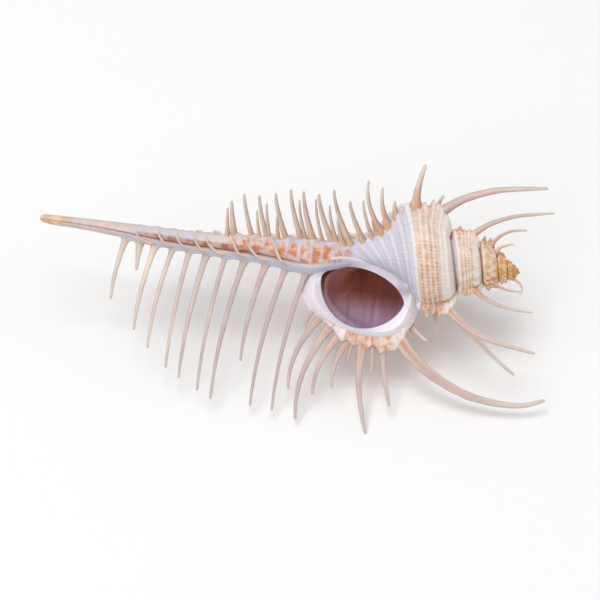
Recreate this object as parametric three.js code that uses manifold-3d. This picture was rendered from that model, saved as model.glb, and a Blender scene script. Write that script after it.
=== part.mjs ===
// Venus comb murex shell, lying on its spines with the aperture up.
// Millimetres, +Z up, the coiling axis along X with the apex at +X. A place on the shell is given
// by its distance from the apex along the axis, its radius from the axis, and its azimuth, which is
// 0 where the aperture faces, 90 on the side away from the outer lip, and -90 beside the lip.
import * as THREE from "three";
import { mergeVertices } from "three/addons/utils/BufferGeometryUtils.js";
import Module from "manifold-3d";

const wasm = await Module();
wasm.setup();

// Size and lie
const LENGTH = 130; // apex to the end of the siphonal canal
const UP_AZIMUTH = 37.57; // the azimuth that points straight up as it lies on its spines
const PITCH = -2.98; // degrees, how much the apex end lies higher than the canal end
const APEX_AT = [60.734, 5.443, 24.475]; // so that the box stands centred on the origin
const APEX_SAG = 0.75; // the first whorls lean this far towards the lip's side
const SAG_LENGTH = 14; // from the apex to where the lean has gone
const SAG_RADIUS = [5, 12]; // it fades between these radii, so that the horns stay where they are

// Growth: a helicospiral that widens by the same share in each turn
const WHORL_GROWTH = 1.68;
const LIP_AZIMUTH = -78; // where growth stopped
const WHORLS = 4.75;
const STEP = 18; // degrees of growth from one column to the next
const VARIX_STEP = 115; // degrees of growth between two varices
const VARIX_OFFSET = 6; // the last varix stands this far behind the lip's edge
const VARIX_SHIFT = [0, 0, 14]; // how many degrees later than evenly spaced a varix came
const VARICES = 9;

// The whorl's outline at the lip's size: distance from the apex, radius
const WHORL = [
  [28.0, 10.5],
  [28.9, 13.8],
  [30.4, 16.3],
  [32.8, 18.0],
  [35.8, 19.2],
  [38.9, 20.1],
  [42.2, 19.9],
  [45.0, 18.4],
];
const BASE = [
  [47.2, 16.2],
  [51.0, 11.4],
  [56.0, 7.4],
  [61.0, 5.2],
];
// The last stretch of growth flares towards the canal, to this outline at the lip
const LIP = [
  [28.0, 10.5],
  [29.6, 13.6],
  [31.1, 16.3],
  [33.3, 18.5],
  [36.4, 19.7],
  [40.4, 20.3],
  [44.4, 20.0],
  [47.5, 18.6],
  [49.9, 16.8],
  [52.2, 14.2],
  [53.8, 9.8],
  [56.5, 6.4],
];
const FLARE_START = -75;
const STOUT = 0.48; // the earliest turns are stouter by this share
const STOUT_TURNS = [400, 1300]; // degrees before the lip between which it comes in
const COLUMELLA = [60, 2.6]; // where the whorl's outline ends, inside the canal

// The siphonal canal: distance from the apex, radius, and how far it bends off the axis
const CANAL = [
  [50, 2.2, -1.2],
  [56, 4.3, -1.5],
  [62, 3.8, -1.3],
  [70, 3.3, -0.9],
  [80, 2.9, -0.5],
  [90, 2.5, 0.1],
  [100, 2.15, 0.9],
  [110, 1.75, 1.7],
  [120, 1.35, 2.3],
  [128, 1.15, 2.6],
  [LENGTH, 0.95, 2.7],
];
const CANAL_SIDES = 12;
const FOLD_FROM = -100; // the outer lip laps over the canal between these azimuths
const FOLD_TO = -22;
const FOLD_HEIGHT = 0.45;

// The aperture: an egg with two pointed ends, leaning on the axis
const APERTURE_AT = [42.1, -9.2]; // distance from the apex, height over the axis
const APERTURE_LEAN = 14.7;
const MOUTH = { half: 11.4, above: 5.5, below: 9.6, bluntness: 0.92 };
const RIM = { half: 13.3, above: 7.6, below: 10.4, bluntness: 0.62 };
const RIM_POINTS = 22;
const RIM_LIFT = 0.6; // the rim's crest over the whorl's surface
const RIM_DEPTH = 2.5; // how deep the rim reaches into the whorl

// The hollow of the last whorl at the lip's size: its middle's distance and radius, its half widths
const HOLLOW_AT = [39.6, 11.4];
const HOLLOW_HALF = [9.0, 7.0];
const HOLLOW_SIDES = 14;
const HOLLOW_START = -20; // it follows the whorl between these angles of growth
const HOLLOW_END = -165;
const HOLLOW_TAPER = [0.96, 0.8];

const rad = THREE.MathUtils.degToRad;
const { lerp, smoothstep } = THREE.MathUtils;

// A place on the shell, from its distance, radius and azimuth
function place(distance, radius, azimuth) {
  const turn = rad(azimuth - UP_AZIMUTH);
  const lean = rad(PITCH);
  const near = (1 - smoothstep(distance, 0, SAG_LENGTH)) * (1 - smoothstep(radius, ...SAG_RADIUS));
  const sag = APEX_SAG * near;
  const along = -distance;
  const up = radius * Math.cos(turn) - sag * Math.sin(rad(UP_AZIMUTH));
  return new THREE.Vector3(
    APEX_AT[0] + along * Math.cos(lean) - up * Math.sin(lean),
    APEX_AT[1] + radius * Math.sin(turn) - sag * Math.cos(rad(UP_AZIMUTH)),
    APEX_AT[2] + along * Math.sin(lean) + up * Math.cos(lean),
  );
}

// The same from a distance, a height over the axis and a depth towards the viewer
function seen(distance, height, depth) {
  const azimuth = THREE.MathUtils.radToDeg(Math.atan2(height, depth));
  return place(distance, Math.hypot(height, depth), azimuth);
}

const growth = (theta) => WHORL_GROWTH ** (theta / 360);
const azimuthAt = (theta) => LIP_AZIMUTH + theta;
const varixAt = (k) => (VARIX_SHIFT[k] ?? 0) - VARIX_OFFSET - VARIX_STEP * k;
const stout = (theta) => 1 + STOUT * smoothstep(-theta, ...STOUT_TURNS);

// The outline's point in a row, at an angle of growth
function outline(row, theta) {
  const whole = [...WHORL, ...BASE];
  const scale = growth(theta);
  const flare = smoothstep(theta, FLARE_START, 0);
  const [distance, radius] = whole[row];
  const [lipDistance, lipRadius] = LIP[row];
  return [
    lerp(distance * scale, lipDistance, flare),
    lerp(radius * scale * stout(theta), lipRadius, flare),
  ];
}

// The radius of the last whorl's surface at a distance from the apex
function radiusAt(distance, theta) {
  const rows = WHORL.length + BASE.length;
  for (let row = 1; row < rows; row++) {
    const [d0, r0] = outline(row - 1, theta);
    const [d1, r1] = outline(row, theta);
    if (distance >= d0 && distance <= d1) {
      return lerp(r0, r1, (distance - d0) / (d1 - d0));
    }
  }
  return canalAt(distance)[0];
}

// The canal's radius and bend at a distance from the apex
function canalAt(distance) {
  const last = CANAL.length - 1;
  const next = CANAL.findIndex(([d]) => d > distance);
  if (next === 0) return CANAL[0].slice(1);
  if (next < 0) return CANAL[last].slice(1);
  const [d0, ...from] = CANAL[next - 1];
  const [d1, ...to] = CANAL[next];
  return from.map((value, i) => lerp(value, to[i], (distance - d0) / (d1 - d0)));
}

// A closed solid from points and triangles
function solid(points, faces) {
  const geometry = new THREE.BufferGeometry().setFromPoints(points);
  geometry.setIndex(faces.flat());
  const merged = mergeVertices(geometry, 1e-4);
  const kept = [];
  const index = merged.index.array;
  for (let i = 0; i < index.length; i += 3) {
    const [a, b, c] = index.slice(i, i + 3);
    if (a !== b && b !== c && c !== a) kept.push(a, b, c);
  }
  const made = new wasm.Manifold(
    new wasm.Mesh({
      numProp: 3,
      vertProperties: merged.attributes.position.array,
      triVerts: new Uint32Array(kept),
    }),
  );
  if (made.volume() >= 0) return made;
  return solid(points, faces.map(([a, b, c]) => [a, c, b]));
}

// A solid through a row of rings with equal numbers of points, closed at both ends or in a loop
function loft(rings, loop = false) {
  const points = rings.flat();
  const sides = rings[0].length;
  const faces = [];
  const spans = loop ? rings.length : rings.length - 1;
  for (let i = 0; i < spans; i++) {
    const next = (i + 1) % rings.length;
    for (let j = 0; j < sides; j++) {
      const k = (j + 1) % sides;
      const [a, b] = [i * sides + j, i * sides + k];
      const [c, d] = [next * sides + j, next * sides + k];
      faces.push([a, b, d], [a, d, c]);
    }
  }
  for (const end of loop ? [] : [0, rings.length - 1]) {
    const middle = points.length;
    const centre = new THREE.Vector3();
    rings[end].forEach((p) => centre.addScaledVector(p, 1 / sides));
    points.push(centre);
    for (let j = 0; j < sides; j++) {
      const [a, b] = [end * sides + j, end * sides + ((j + 1) % sides)];
      faces.push(end ? [middle, a, b] : [middle, b, a]);
    }
  }
  return solid(points, faces);
}

// The coil: one strip from suture to suture, wound up to the lip and closed at the lip's face
function coil() {
  const perTurn = 360 / STEP;
  const first = -Math.round(WHORLS * perTurn);
  const whorlRows = WHORL.length;
  const allRows = whorlRows + BASE.length;
  const points = [];
  const index = new Map();
  const add = (point) => points.push(point) - 1;
  for (let column = first; column <= 0; column++) {
    const theta = column * STEP;
    const rows = column >= -perTurn ? allRows : whorlRows;
    for (let row = 0; row < rows; row++) {
      const [distance, radius] = outline(row, theta);
      index.set(`${column},${row}`, add(place(distance, radius, azimuthAt(theta))));
    }
    if (column >= -perTurn) {
      index.set(`${column},${allRows}`, add(place(...COLUMELLA, azimuthAt(theta))));
    }
  }
  // A whorl's last row is the suture, the first row of the next turn
  const at = (column, row) =>
    row === whorlRows && column <= -perTurn
      ? index.get(`${column + perTurn},0`)
      : index.get(`${column},${row}`);
  const faces = [];
  const quad = (a, b, c, d) => faces.push([a, b, c], [a, c, d]);
  for (let column = first; column < 0; column++) {
    const rows = column >= -perTurn ? allRows : whorlRows;
    for (let row = 0; row < rows; row++) {
      const [a, b] = [at(column, row), at(column, row + 1)];
      const [c, d] = [at(column + 1, row + 1), at(column + 1, row)];
      quad(a, b, c, d);
    }
  }
  // The apex closes over the first turn, and the columella over the last row
  const apex = add(place(0.4, 0, 0));
  for (let column = first; column < first + perTurn; column++) {
    faces.push([apex, at(column, 0), at(column + 1, 0)]);
  }
  for (let row = 0; row < whorlRows; row++) {
    faces.push([apex, at(first, row + 1), at(first, row)]);
  }
  const foot = add(place(COLUMELLA[0], 0, 0));
  for (let column = -perTurn; column < 0; column++) {
    faces.push([foot, at(column + 1, allRows), at(column, allRows)]);
  }
  // The lip's face, in its own half plane
  const edge = [];
  for (let row = 0; row <= allRows; row++) edge.push(at(0, row));
  for (let row = allRows - 1; row > whorlRows; row--) edge.push(at(-perTurn, row));
  const flat = edge.map((i) => {
    const from = points[i].clone().sub(place(0, 0, 0));
    return new THREE.Vector2(from.x, Math.hypot(from.y, from.z));
  });
  THREE.ShapeUtils.triangulateShape(flat, []).forEach(([a, b, c]) => {
    faces.push([edge[a], edge[b], edge[c]]);
  });
  return solid(points, faces);
}

function canal() {
  const rings = CANAL.map(([distance, radius, bend]) => {
    const ring = [];
    for (let side = 0; side < CANAL_SIDES; side++) {
      const turn = (side / CANAL_SIDES) * 2 * Math.PI;
      ring.push(seen(distance, bend + radius * Math.sin(turn), radius * Math.cos(turn)));
    }
    return ring;
  });
  return loft(rings);
}

// The lip's fold over the canal, whose free edge is the slit's edge
function fold() {
  const rings = CANAL.slice(1, -1).map(([distance, radius, bend]) => {
    const put = (azimuth, r) => {
      const turn = rad(azimuth);
      return seen(distance, bend + r * Math.sin(turn), r * Math.cos(turn));
    };
    const height = FOLD_HEIGHT * Math.min(1, radius / 2);
    const outside = [0, 1 / 3, 2 / 3, 1].map((t) =>
      put(lerp(FOLD_FROM, FOLD_TO, t), radius + height * Math.min(1, 3 * t)),
    );
    return [...outside, put(FOLD_TO, radius * 0.7), put(FOLD_FROM, radius * 0.7)];
  });
  return loft(rings);
}

// A varix: a ridge along the whorl's outline, steep towards the lip
const RIDGE = [1.6, 3.4, 4.4, 4.7, 4.6, 4.2, 3.7, 3.2, 2.4, 1.4]; // its height row by row
const RIDGE_FEET = [-15, 4]; // degrees of growth from the crest to each foot
const RIDGE_CREST = [
  [-9, 0.45],
  [-2, 1],
  [3, 0.9],
]; // degrees of growth and share of the height
const RIDGE_ROOT = 0.8; // how deep the feet stand in the whorl
const RIDGE_WORN = 0.45; // the oldest ridges are lower by this share
function varix(k) {
  const theta = varixAt(k);
  const scale = growth(theta);
  const left = 1 - RIDGE_WORN * smoothstep(k, 2, 6);
  const rows = RIDGE.length - (k < 3 ? 0 : 2);
  const rings = RIDGE.slice(0, rows).map((height, row) => {
    const foot = (turn) => {
      const [distance, radius] = outline(row, Math.min(theta + turn, 0));
      return place(distance, radius - RIDGE_ROOT * scale, azimuthAt(theta + turn));
    };
    const [distance, radius] = outline(row, theta);
    const crest = ([turn, share]) =>
      place(distance, radius + height * left * share * scale, azimuthAt(theta + turn));
    return [foot(RIDGE_FEET[0]), ...RIDGE_CREST.map(crest), foot(RIDGE_FEET[1])];
  });
  return loft(rings);
}

// A point of an outline round the aperture, at a turn round it, as distance and height
function apertureAt(turn, { half, above, below, bluntness }) {
  const along = half * Math.cos(turn);
  const rise = Math.sin(turn);
  const across = Math.sign(rise) * Math.abs(rise) ** bluntness * (rise > 0 ? above : below);
  const lean = rad(APERTURE_LEAN);
  return [
    APERTURE_AT[0] + along * Math.cos(lean) - across * Math.sin(lean),
    APERTURE_AT[1] + along * Math.sin(lean) + across * Math.cos(lean),
  ];
}

// The depth of the lip's face at a height
const lipFaceDepth = (height) => height / Math.tan(rad(LIP_AZIMUTH));

// How far towards the viewer the last whorl stands at a distance and height
function bodyDepth(distance, height) {
  let depth = lipFaceDepth(height);
  for (let turn = 0; turn <= 90; turn += 2) {
    const azimuth = rad(LIP_AZIMUTH + turn);
    const radius = radiusAt(distance, turn - 360);
    if (radius * Math.sin(azimuth) >= height) {
      depth = Math.max(depth, Math.sqrt(Math.max(radius ** 2 - height ** 2, 0)));
      break;
    }
  }
  return depth;
}

// The aperture's rim and the callus between it and the mouth
function peristome() {
  const rings = [];
  for (let i = 0; i < RIM_POINTS; i++) {
    const turn = (i / RIM_POINTS) * 2 * Math.PI;
    const [outD, outH] = apertureAt(turn, RIM);
    const [inD, inH] = apertureAt(turn, MOUTH);
    const crest = bodyDepth(outD, outH) + RIM_LIFT;
    const edge = lipFaceDepth(inH) + RIM_LIFT / 2;
    const between = (t, depth) => seen(lerp(outD, inD, t), lerp(outH, inH, t), depth);
    rings.push([
      between(0, crest - RIM_DEPTH),
      between(0, crest),
      between(1 / 3, lerp(crest, edge, 0.1) + RIM_LIFT / 2),
      between(1, edge),
      between(1, edge - RIM_DEPTH),
    ]);
  }
  return loft(rings, true);
}

// The hollow of the last whorl, from in front of the mouth back round the axis
function hollow() {
  const turns = [];
  for (let j = 0; j < HOLLOW_SIDES; j++) turns.push((j / HOLLOW_SIDES) * 2 * Math.PI);
  const mouth = (depthAt) =>
    turns.map((turn) => {
      const [distance, height] = apertureAt(turn, MOUTH);
      return seen(distance, height, depthAt(height));
    });
  const inFront = 12;
  const rings = [mouth(() => inFront), mouth((height) => 2 + lipFaceDepth(height) / 2)];
  for (let theta = HOLLOW_START; theta >= HOLLOW_END; theta -= 16) {
    const scale = growth(theta);
    const taper = scale * lerp(...HOLLOW_TAPER, theta / HOLLOW_END);
    rings.push(
      turns.map((turn) =>
        place(
          HOLLOW_AT[0] * scale + HOLLOW_HALF[0] * taper * Math.cos(turn),
          HOLLOW_AT[1] * scale - HOLLOW_HALF[1] * taper * Math.sin(turn),
          azimuthAt(theta),
        ),
      ),
    );
  }
  return loft(rings);
}

// A spine: a tapering curved horn through places, each a distance, a radius and an azimuth
const ACROSS = new THREE.Vector3(0.3, 0.9, 0.2); // no spine runs this way
function spine(places, base, tip, sides = 5, segments = 4) {
  const curve = new THREE.CatmullRomCurve3(places.map((p) => place(...p)));
  const rings = [];
  for (let i = 0; i <= segments; i++) {
    const t = i / segments;
    const centre = curve.getPointAt(t);
    const along = curve.getTangentAt(t);
    const side = ACROSS.clone().cross(along).normalize();
    const other = along.clone().cross(side);
    const radius = lerp(base, tip, t ** 0.8);
    const ring = [];
    for (let j = 0; j < sides; j++) {
      const turn = (j / sides) * 2 * Math.PI;
      const offset = side.clone().multiplyScalar(radius * Math.cos(turn));
      ring.push(centre.clone().add(offset.addScaledVector(other, radius * Math.sin(turn))));
    }
    rings.push(ring);
  }
  return loft(rings);
}

// The long horn on the shoulder of each varix, curving towards the apex: its distance, its radius
// on the two youngest varices, where the tip curls back, and its radius on the older ones, where
// the tip still rises
const SHOULDER_HORN = [
  [34.2, 17.0, 17.0],
  [32.6, 20.0, 19.6],
  [28.8, 24.8, 23.6],
  [22.0, 30.4, 28.4],
  [11.1, 35.4, 32.8],
  [-1.4, 36.8, 35.0],
  [-9.3, 34.6, 36.0],
];
const CURLED_HORNS = 2;
// How each varix's own horn differs: its turn round the axis from root to tip in degrees, its
// reach, how far its tip lies towards the canal, and how much of its length is left. Those on the
// side away from the aperture are worn off where they would stand out past the apex
const HORNS = [
  [-3, 1, 0, 1],
  [14, 1.16, 0, 0.78],
  [-6, 1.03, 2.5, 1],
  [-4, 1.06, 0.5, 1],
  [0, 1.05, 0, 0.74],
  [8, 1.08, -3, 1],
  [4, 1.1, 0, 1],
  [0, 1.1, 0, 0.72],
  [0, 1.15, 2, 1],
];
function shoulderHorn(k) {
  const theta = varixAt(k);
  const scale = growth(theta);
  const [turn, reach, along, left] = HORNS[k];
  const last = SHOULDER_HORN.length - 1;
  const column = k < CURLED_HORNS ? 1 : 2;
  const route = SHOULDER_HORN.map((point, i) => {
    const t = (left * i) / last;
    const before = Math.min(Math.floor(t * last), last - 1);
    const [from, to] = [SHOULDER_HORN[before], SHOULDER_HORN[before + 1]];
    const distance = lerp(from[0], to[0], t * last - before);
    const radius = lerp(from[column], to[column], t * last - before);
    return [
      distance * scale + along * t ** 2,
      radius * scale * lerp(stout(theta), 1, t) * lerp(1, reach, t),
      azimuthAt(theta) + turn * t,
    ];
  });
  const segments = k < 2 ? 7 : k < 6 ? 5 : 3;
  return spine(route, 2.3 * scale, 0.55 * Math.sqrt(scale), k < 3 ? 6 : 5, segments);
}

// Spines on the body part of a varix: root distance, how far the tip lies along and out, the bow
// of the middle, and the root's thickness
const BODY_SPINES = [
  [36.0, -3.4, 20.4, 1.3, 1.0],
  [38.6, -0.3, 11.3, 0.0, 0.6],
  [41.2, -2.7, 27.2, 2.0, 1.1],
  [43.4, 1.4, 8.6, 0.0, 0.5],
  [44.5, 4.1, 16.2, 0.6, 0.9],
  [46.8, 6.7, 19.2, 0.6, 1.0],
  [49.6, 8.0, 28.1, 1.2, 1.1],
  [52.0, 8.2, 22.5, 0.9, 1.0],
  [53.0, 4.0, 7.5, 0.4, 0.6],
];
// How much of each length is left on the older varices, where many are worn or broken
const BODY_LEFT = [
  [1, 1, 1, 1, 1, 1, 1, 1, 1],
  [0.9, 0.7, 0.9, 0.6, 0.9, 0.9, 0.85, 0.9, 0.8],
  [0.3, 0.35, 0.7, 0.3, 0.2, 0.35, 0.55, 0.9, 0.9],
  [0.2, 0.3, 0.25],
  [0.5, 0.3, 0.4],
  [0.2, 0.3, 0.2],
  [0.3, 0.3, 0.2],
];
const BODY_TURN = [-2, 7, 4, 3, 2, 2, 2];
function bodySpines(k) {
  const theta = varixAt(k);
  const scale = growth(theta);
  const azimuth = azimuthAt(theta);
  return (BODY_LEFT[k] ?? []).map((left, i) => {
    const [at, along, out, bow, thick] = BODY_SPINES[i];
    const distance = at * scale;
    const root = radiusAt(distance, theta);
    const [reach, shift] = [out * left * scale, along * left * scale];
    const route = [
      [distance, root - 0.8 * scale, azimuth],
      [distance + shift / 2 + bow * scale * left, root + reach / 2, azimuth + 0.4 * BODY_TURN[k]],
      [distance + shift, root + reach, azimuth + BODY_TURN[k]],
    ];
    const small = k > 2 || out * left < 12;
    const width = Math.sqrt(scale);
    return spine(route, thick * width, 0.5 * width, small ? 4 : 5, small ? 2 : 3);
  });
}

// A slender second spine beside the fourth varix's horn, as distance, radius and azimuth
const SECOND_SPINE = [
  [20.5, 10.5, -80],
  [15.5, 15.8, -83],
  [10, 20.2, -86],
  [4.5, 24.8, -88],
  [-0.4, 28.3, -90],
];

// The combs on the canal: long spines with the last varix, shorter ones with the two before it.
// Each runs between two distances; near and far are the tips' radii at its ends, ahead is how far
// the tips lie towards the canal's end, turn is their turn round the axis, and broken ones are short
const COMBS = [
  {
    k: 0,
    from: 106.3,
    to: 57.5,
    count: 11,
    far: 17.4,
    near: 43.4,
    ahead: [3, 6.2],
    turn: -3,
    broken: { 1: 0.4, 8: 0.74 },
  },
  { k: 1, from: 98, to: 47, count: 11, far: 16, near: 36, ahead: [3, 5], turn: 15, broken: {} },
  { k: 2, from: 77.2, to: 41, count: 10, far: 17, near: 24, ahead: [0.8, 5], turn: -16, broken: {} },
];
const COMB_THICK = [0.95, 0.5]; // a comb spine's radius at its root and tip
const CROWDING = 0.22; // a comb's spines stand closer together towards the canal's end, by this
function comb({ k, from, to, count, far, near, ahead, turn, broken }) {
  const azimuth = azimuthAt(varixAt(k));
  const made = [];
  for (let i = 0; i < count; i++) {
    const t = i / (count - 1);
    const distance = lerp(from, to, (1 - CROWDING) * t + CROWDING * t ** 2);
    const [radius, bend] = canalAt(distance);
    const root = Math.max(radius, radiusAt(distance, varixAt(k))) + bend * Math.sin(rad(azimuth));
    const tip = lerp(far, near, 1 - (1 - t) ** 2);
    const reach = (tip - root) * (broken[i] ?? 1);
    const shift = lerp(...ahead, t) * (broken[i] ?? 1);
    const route = [
      [distance, root - 0.5, azimuth],
      [distance + shift * 0.5, root + reach * 0.5, azimuth + turn * 0.5],
      [distance + shift, root + reach, azimuth + turn],
    ];
    made.push(spine(route, ...COMB_THICK, 5, 3));
  }
  return made;
}

function shell() {
  let whole = coil().add(canal()).add(fold());
  for (let k = 0; k < VARICES; k++) {
    whole = whole.add(varix(k));
  }
  whole = whole.add(peristome()).subtract(hollow());
  const horns = [];
  for (let k = 0; k < VARICES; k++) {
    horns.push(shoulderHorn(k), ...bodySpines(k));
  }
  horns.push(spine(SECOND_SPINE, 0.8, 0.45));
  COMBS.forEach((row) => horns.push(...comb(row)));
  for (const horn of horns) {
    whole = whole.add(horn);
  }
  const { numProp, vertProperties, triVerts } = whole.getMesh();
  const geometry = new THREE.BufferGeometry();
  const vertices = new THREE.BufferAttribute(new Float32Array(vertProperties), numProp);
  geometry.setAttribute("position", vertices);
  geometry.setIndex(new THREE.BufferAttribute(new Uint32Array(triVerts), 1));
  geometry.computeVertexNormals();
  return geometry;
}

const ivory = new THREE.MeshStandardMaterial({ color: 0xdcc8b4, roughness: 0.45, metalness: 0 });
const mesh = new THREE.Mesh(shell(), ivory);
mesh.name = "shell";

const murex = new THREE.Group();
murex.add(mesh);
export default murex;
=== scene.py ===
# %% [markdown]
# # A venus comb murex shell
# A sea snail builds this shell at its open edge, the lip. The coil widens by the same share in
# each turn, so one outline wound round an axis gives every whorl. Three times a turn the snail
# stops and grows a thick ridge with long spines, a varix, and then goes on. Here the shell is
# worked out in the same way: named sizes in millimetres, turned into points with numpy, and
# coloured by what each point knows about itself, such as when it grew.

import bpy
import numpy as np
from mathutils import Matrix, Vector


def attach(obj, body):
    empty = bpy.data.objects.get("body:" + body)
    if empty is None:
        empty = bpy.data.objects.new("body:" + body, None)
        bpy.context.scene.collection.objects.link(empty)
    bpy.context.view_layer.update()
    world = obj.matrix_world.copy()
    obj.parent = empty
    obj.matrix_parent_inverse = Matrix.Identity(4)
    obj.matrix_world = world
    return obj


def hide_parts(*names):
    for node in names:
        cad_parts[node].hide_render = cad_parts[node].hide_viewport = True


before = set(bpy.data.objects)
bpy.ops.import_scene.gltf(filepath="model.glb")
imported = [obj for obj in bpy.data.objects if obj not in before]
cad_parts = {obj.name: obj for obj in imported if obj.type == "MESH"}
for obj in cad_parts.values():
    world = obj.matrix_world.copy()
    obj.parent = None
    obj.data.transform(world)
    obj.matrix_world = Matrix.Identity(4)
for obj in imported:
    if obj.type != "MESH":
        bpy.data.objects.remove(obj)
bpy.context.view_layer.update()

# %% [markdown]
# ## Places on the shell
# The axis of the coil runs from the apex, D = 0, to the end of the long siphonal canal, D = 130
# mm. A place is its distance D along the axis, its radius off the axis and its azimuth round it.
# Azimuth 0 is the side that the aperture faces, -90 is beside the outer lip and 90 is the side
# away from it. Working in these terms keeps every number a size of the shell, and one function
# turns them into points of the scene.

# %% Places on the shell
MM = 0.001
LENGTH = 130.0
UP_AZIMUTH = 37.57  # the azimuth that points straight up as the shell lies on its spines
PITCH = -2.98  # how much higher the apex end lies, in degrees
APEX_AT = (60.734, 5.443, 24.475)
APEX_SAG = 0.75  # the first whorls lean this far towards the lip's side
SAG_LENGTH = 14.0  # from the apex to where the lean has gone
SAG_RADIUS = (12.0, 5.0)  # it fades out between these radii, so that the long spines stay in place


def smoothstep(x, zero, one):
    """0 up to the place zero, 1 beyond the place one, 3t^2 - 2t^3 of the share t between them."""
    t = np.clip((np.asarray(x, float) - zero) / (one - zero), 0, 1)
    return t * t * (3 - 2 * t)


def window(x, start, top, fall, end):
    """Up from 0 to 1 between the first two places, and down again between the last two."""
    return smoothstep(x, start, top) * smoothstep(x, end, fall)


def bell(x, at, half):
    """e^-((x - at) / half)^2, a bell curve as high as 1."""
    return np.exp(-(((x - at) / half) ** 2))


def bells(x, places, half):
    """The nearest bell curve of this half width, out of one at each of the places."""
    return bell(np.asarray(x)[..., None], np.array(places), half).max(-1)


def lerp(a, b, t):
    """a at t = 0, b at t = 1, in a straight line."""
    return a + (b - a) * t


def unit(vectors):
    """Each vector divided by its length."""
    return vectors / np.linalg.norm(vectors, axis=-1, keepdims=True)


def place(distance, radius, azimuth):
    """Along the axis by the distance, then out by the radius, in the direction of the azimuth."""
    distance, radius, azimuth = np.broadcast_arrays(distance, radius, azimuth)
    turn, lean, up_turn = (np.radians(v) for v in (azimuth - UP_AZIMUTH, PITCH, UP_AZIMUTH))
    sag = APEX_SAG * smoothstep(distance, SAG_LENGTH, 0) * smoothstep(radius, *SAG_RADIUS)
    up = radius * np.cos(turn) - sag * np.sin(up_turn)
    x = APEX_AT[0] - distance * np.cos(lean) - up * np.sin(lean)
    y = APEX_AT[1] + radius * np.sin(turn) - sag * np.cos(up_turn)
    z = APEX_AT[2] - distance * np.sin(lean) + up * np.cos(lean)
    return np.stack([x, y, z], -1) * MM


def seen(distance, height, depth):
    """The same from a height over the axis and a depth towards azimuth 0."""
    return place(distance, np.hypot(height, depth), np.degrees(np.arctan2(height, depth)))


def wrapped(azimuth):
    """The azimuth between -180 and 180."""
    return (np.asarray(azimuth, float) + 180) % 360 - 180


print("apex at", place(0.0, 0.0, 0.0).round(4))

# %% [markdown]
# ## Growth and the outline
# The whorl's outline is a short list of points, each a distance and a radius at the lip's size. At
# an angle of growth theta, 0 at the lip and negative before it, everything is smaller by
# 1.68^(theta / 360). That is all that a coil needs, and it keeps the whorls true to each other.

# %% The outline and how it grows
WHORL_GROWTH = 1.68
LIP_AZIMUTH = -78.0
VARIX_STEP, VARIX_OFFSET = 115.0, 6.0
VARIX_SHIFT = (0, 0, 14) + (0,) * 9  # how many degrees later than evenly spaced each varix came
WHORL = [(28.0, 10.5), (28.9, 13.8), (30.4, 16.3), (32.8, 18.0),
         (35.8, 19.2), (38.9, 20.1), (42.2, 19.9), (45.0, 18.4)]
EARLY_WHORL = [(28.0, 10.5), (28.9, 11.6), (30.4, 13.1), (32.8, 15.2),
               (35.8, 16.9), (38.9, 17.9), (42.2, 18.4), (45.0, 18.1)]  # the same, nearer to a cone
EARLY_FROM, EARLY_TO = 550.0, 1000.0
BASE = [(47.2, 16.2), (51.0, 11.4)]
LIP = [(28.0, 10.5), (29.6, 13.6), (31.1, 16.3), (33.3, 18.5),
       (36.4, 19.7), (40.4, 20.3), (44.4, 20.0), (47.5, 18.6), (49.9, 16.8), (52.2, 14.2)]
LIP_BASE = [(49.9, 16.8), (51.2, 15.6), (52.2, 14.2), (53.1, 12.0), (53.8, 9.8), (54.8, 8.0),
            (56.5, 6.4), (60.0, 4.9), (66.0, 3.6)]
LIP_BASE_ROW = [(49.9, 47.2), (52.2, 51.0), (53.8, 56.0), (56.5, 61.0), (62.0, 66.0)]
BASE_FALL = 0.0915  # the base narrows by this share in each millimetre, at the lip's size
FLARE_START = -75.0
STOUT, STOUT_FROM, STOUT_TO = 0.48, 400.0, 1300.0  # early whorls are stouter by this share
DOME, DOME_FROM, DOME_TO = 0.4, 1300.0, 2100.0  # and the very first ones by this share more
SUTURE_ROW = len(WHORL)
ROW_AT = np.array(WHORL + BASE)[:, 0]  # a row is known by its distance at the lip's size


def growth(theta):
    """1.68 to the power of the turns grown, 1 at the lip."""
    return WHORL_GROWTH ** (np.asarray(theta, float) / 360)


def stout(theta):
    """A share over 1 that comes in over the early whorls."""
    back = -np.asarray(theta, float)
    return 1 + STOUT * smoothstep(back, STOUT_FROM, STOUT_TO) + DOME * smoothstep(
        back, DOME_FROM, DOME_TO)


def flare(theta):
    """0 before the last stretch of growth, 1 at the lip."""
    return smoothstep(theta, FLARE_START, 0)


print("size one turn before the lip:", growth(-360.0).round(3))

# %% [markdown]
# ## Smooth curves
# The outline's points are joined by a Catmull-Rom curve, which passes through all of them. Each
# point adds a share to the curve, and the shares depend only on how far along it a place lies. So
# one table of them serves every angle of growth, and a whole surface is one product of arrays.

# %% Smooth curves and the outline at every angle
def smooth_weights(count, at):
    """Catmull-Rom weights: what each of count points adds to the curve at the given places."""
    at = np.clip(np.asarray(at, float), 0, count - 1)
    cell = np.minimum(at.astype(int), count - 2)
    t = at - cell
    parts = [-t / 2 + t**2 - t**3 / 2, 1 - 2.5 * t**2 + 1.5 * t**3,
             t / 2 + 2 * t**2 - 1.5 * t**3, (t**3 - t**2) / 2]
    weights = np.zeros((len(at), count))
    for step, part in enumerate(parts, -1):
        np.add.at(weights, (np.arange(len(at)), np.clip(cell + step, 0, count - 1)), part)
    return weights


def smooth_curve(points, at):
    """The smooth curve through a list of points, at the given places along it."""
    return np.tensordot(smooth_weights(len(points), at), np.array(points, float), 1)


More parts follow.
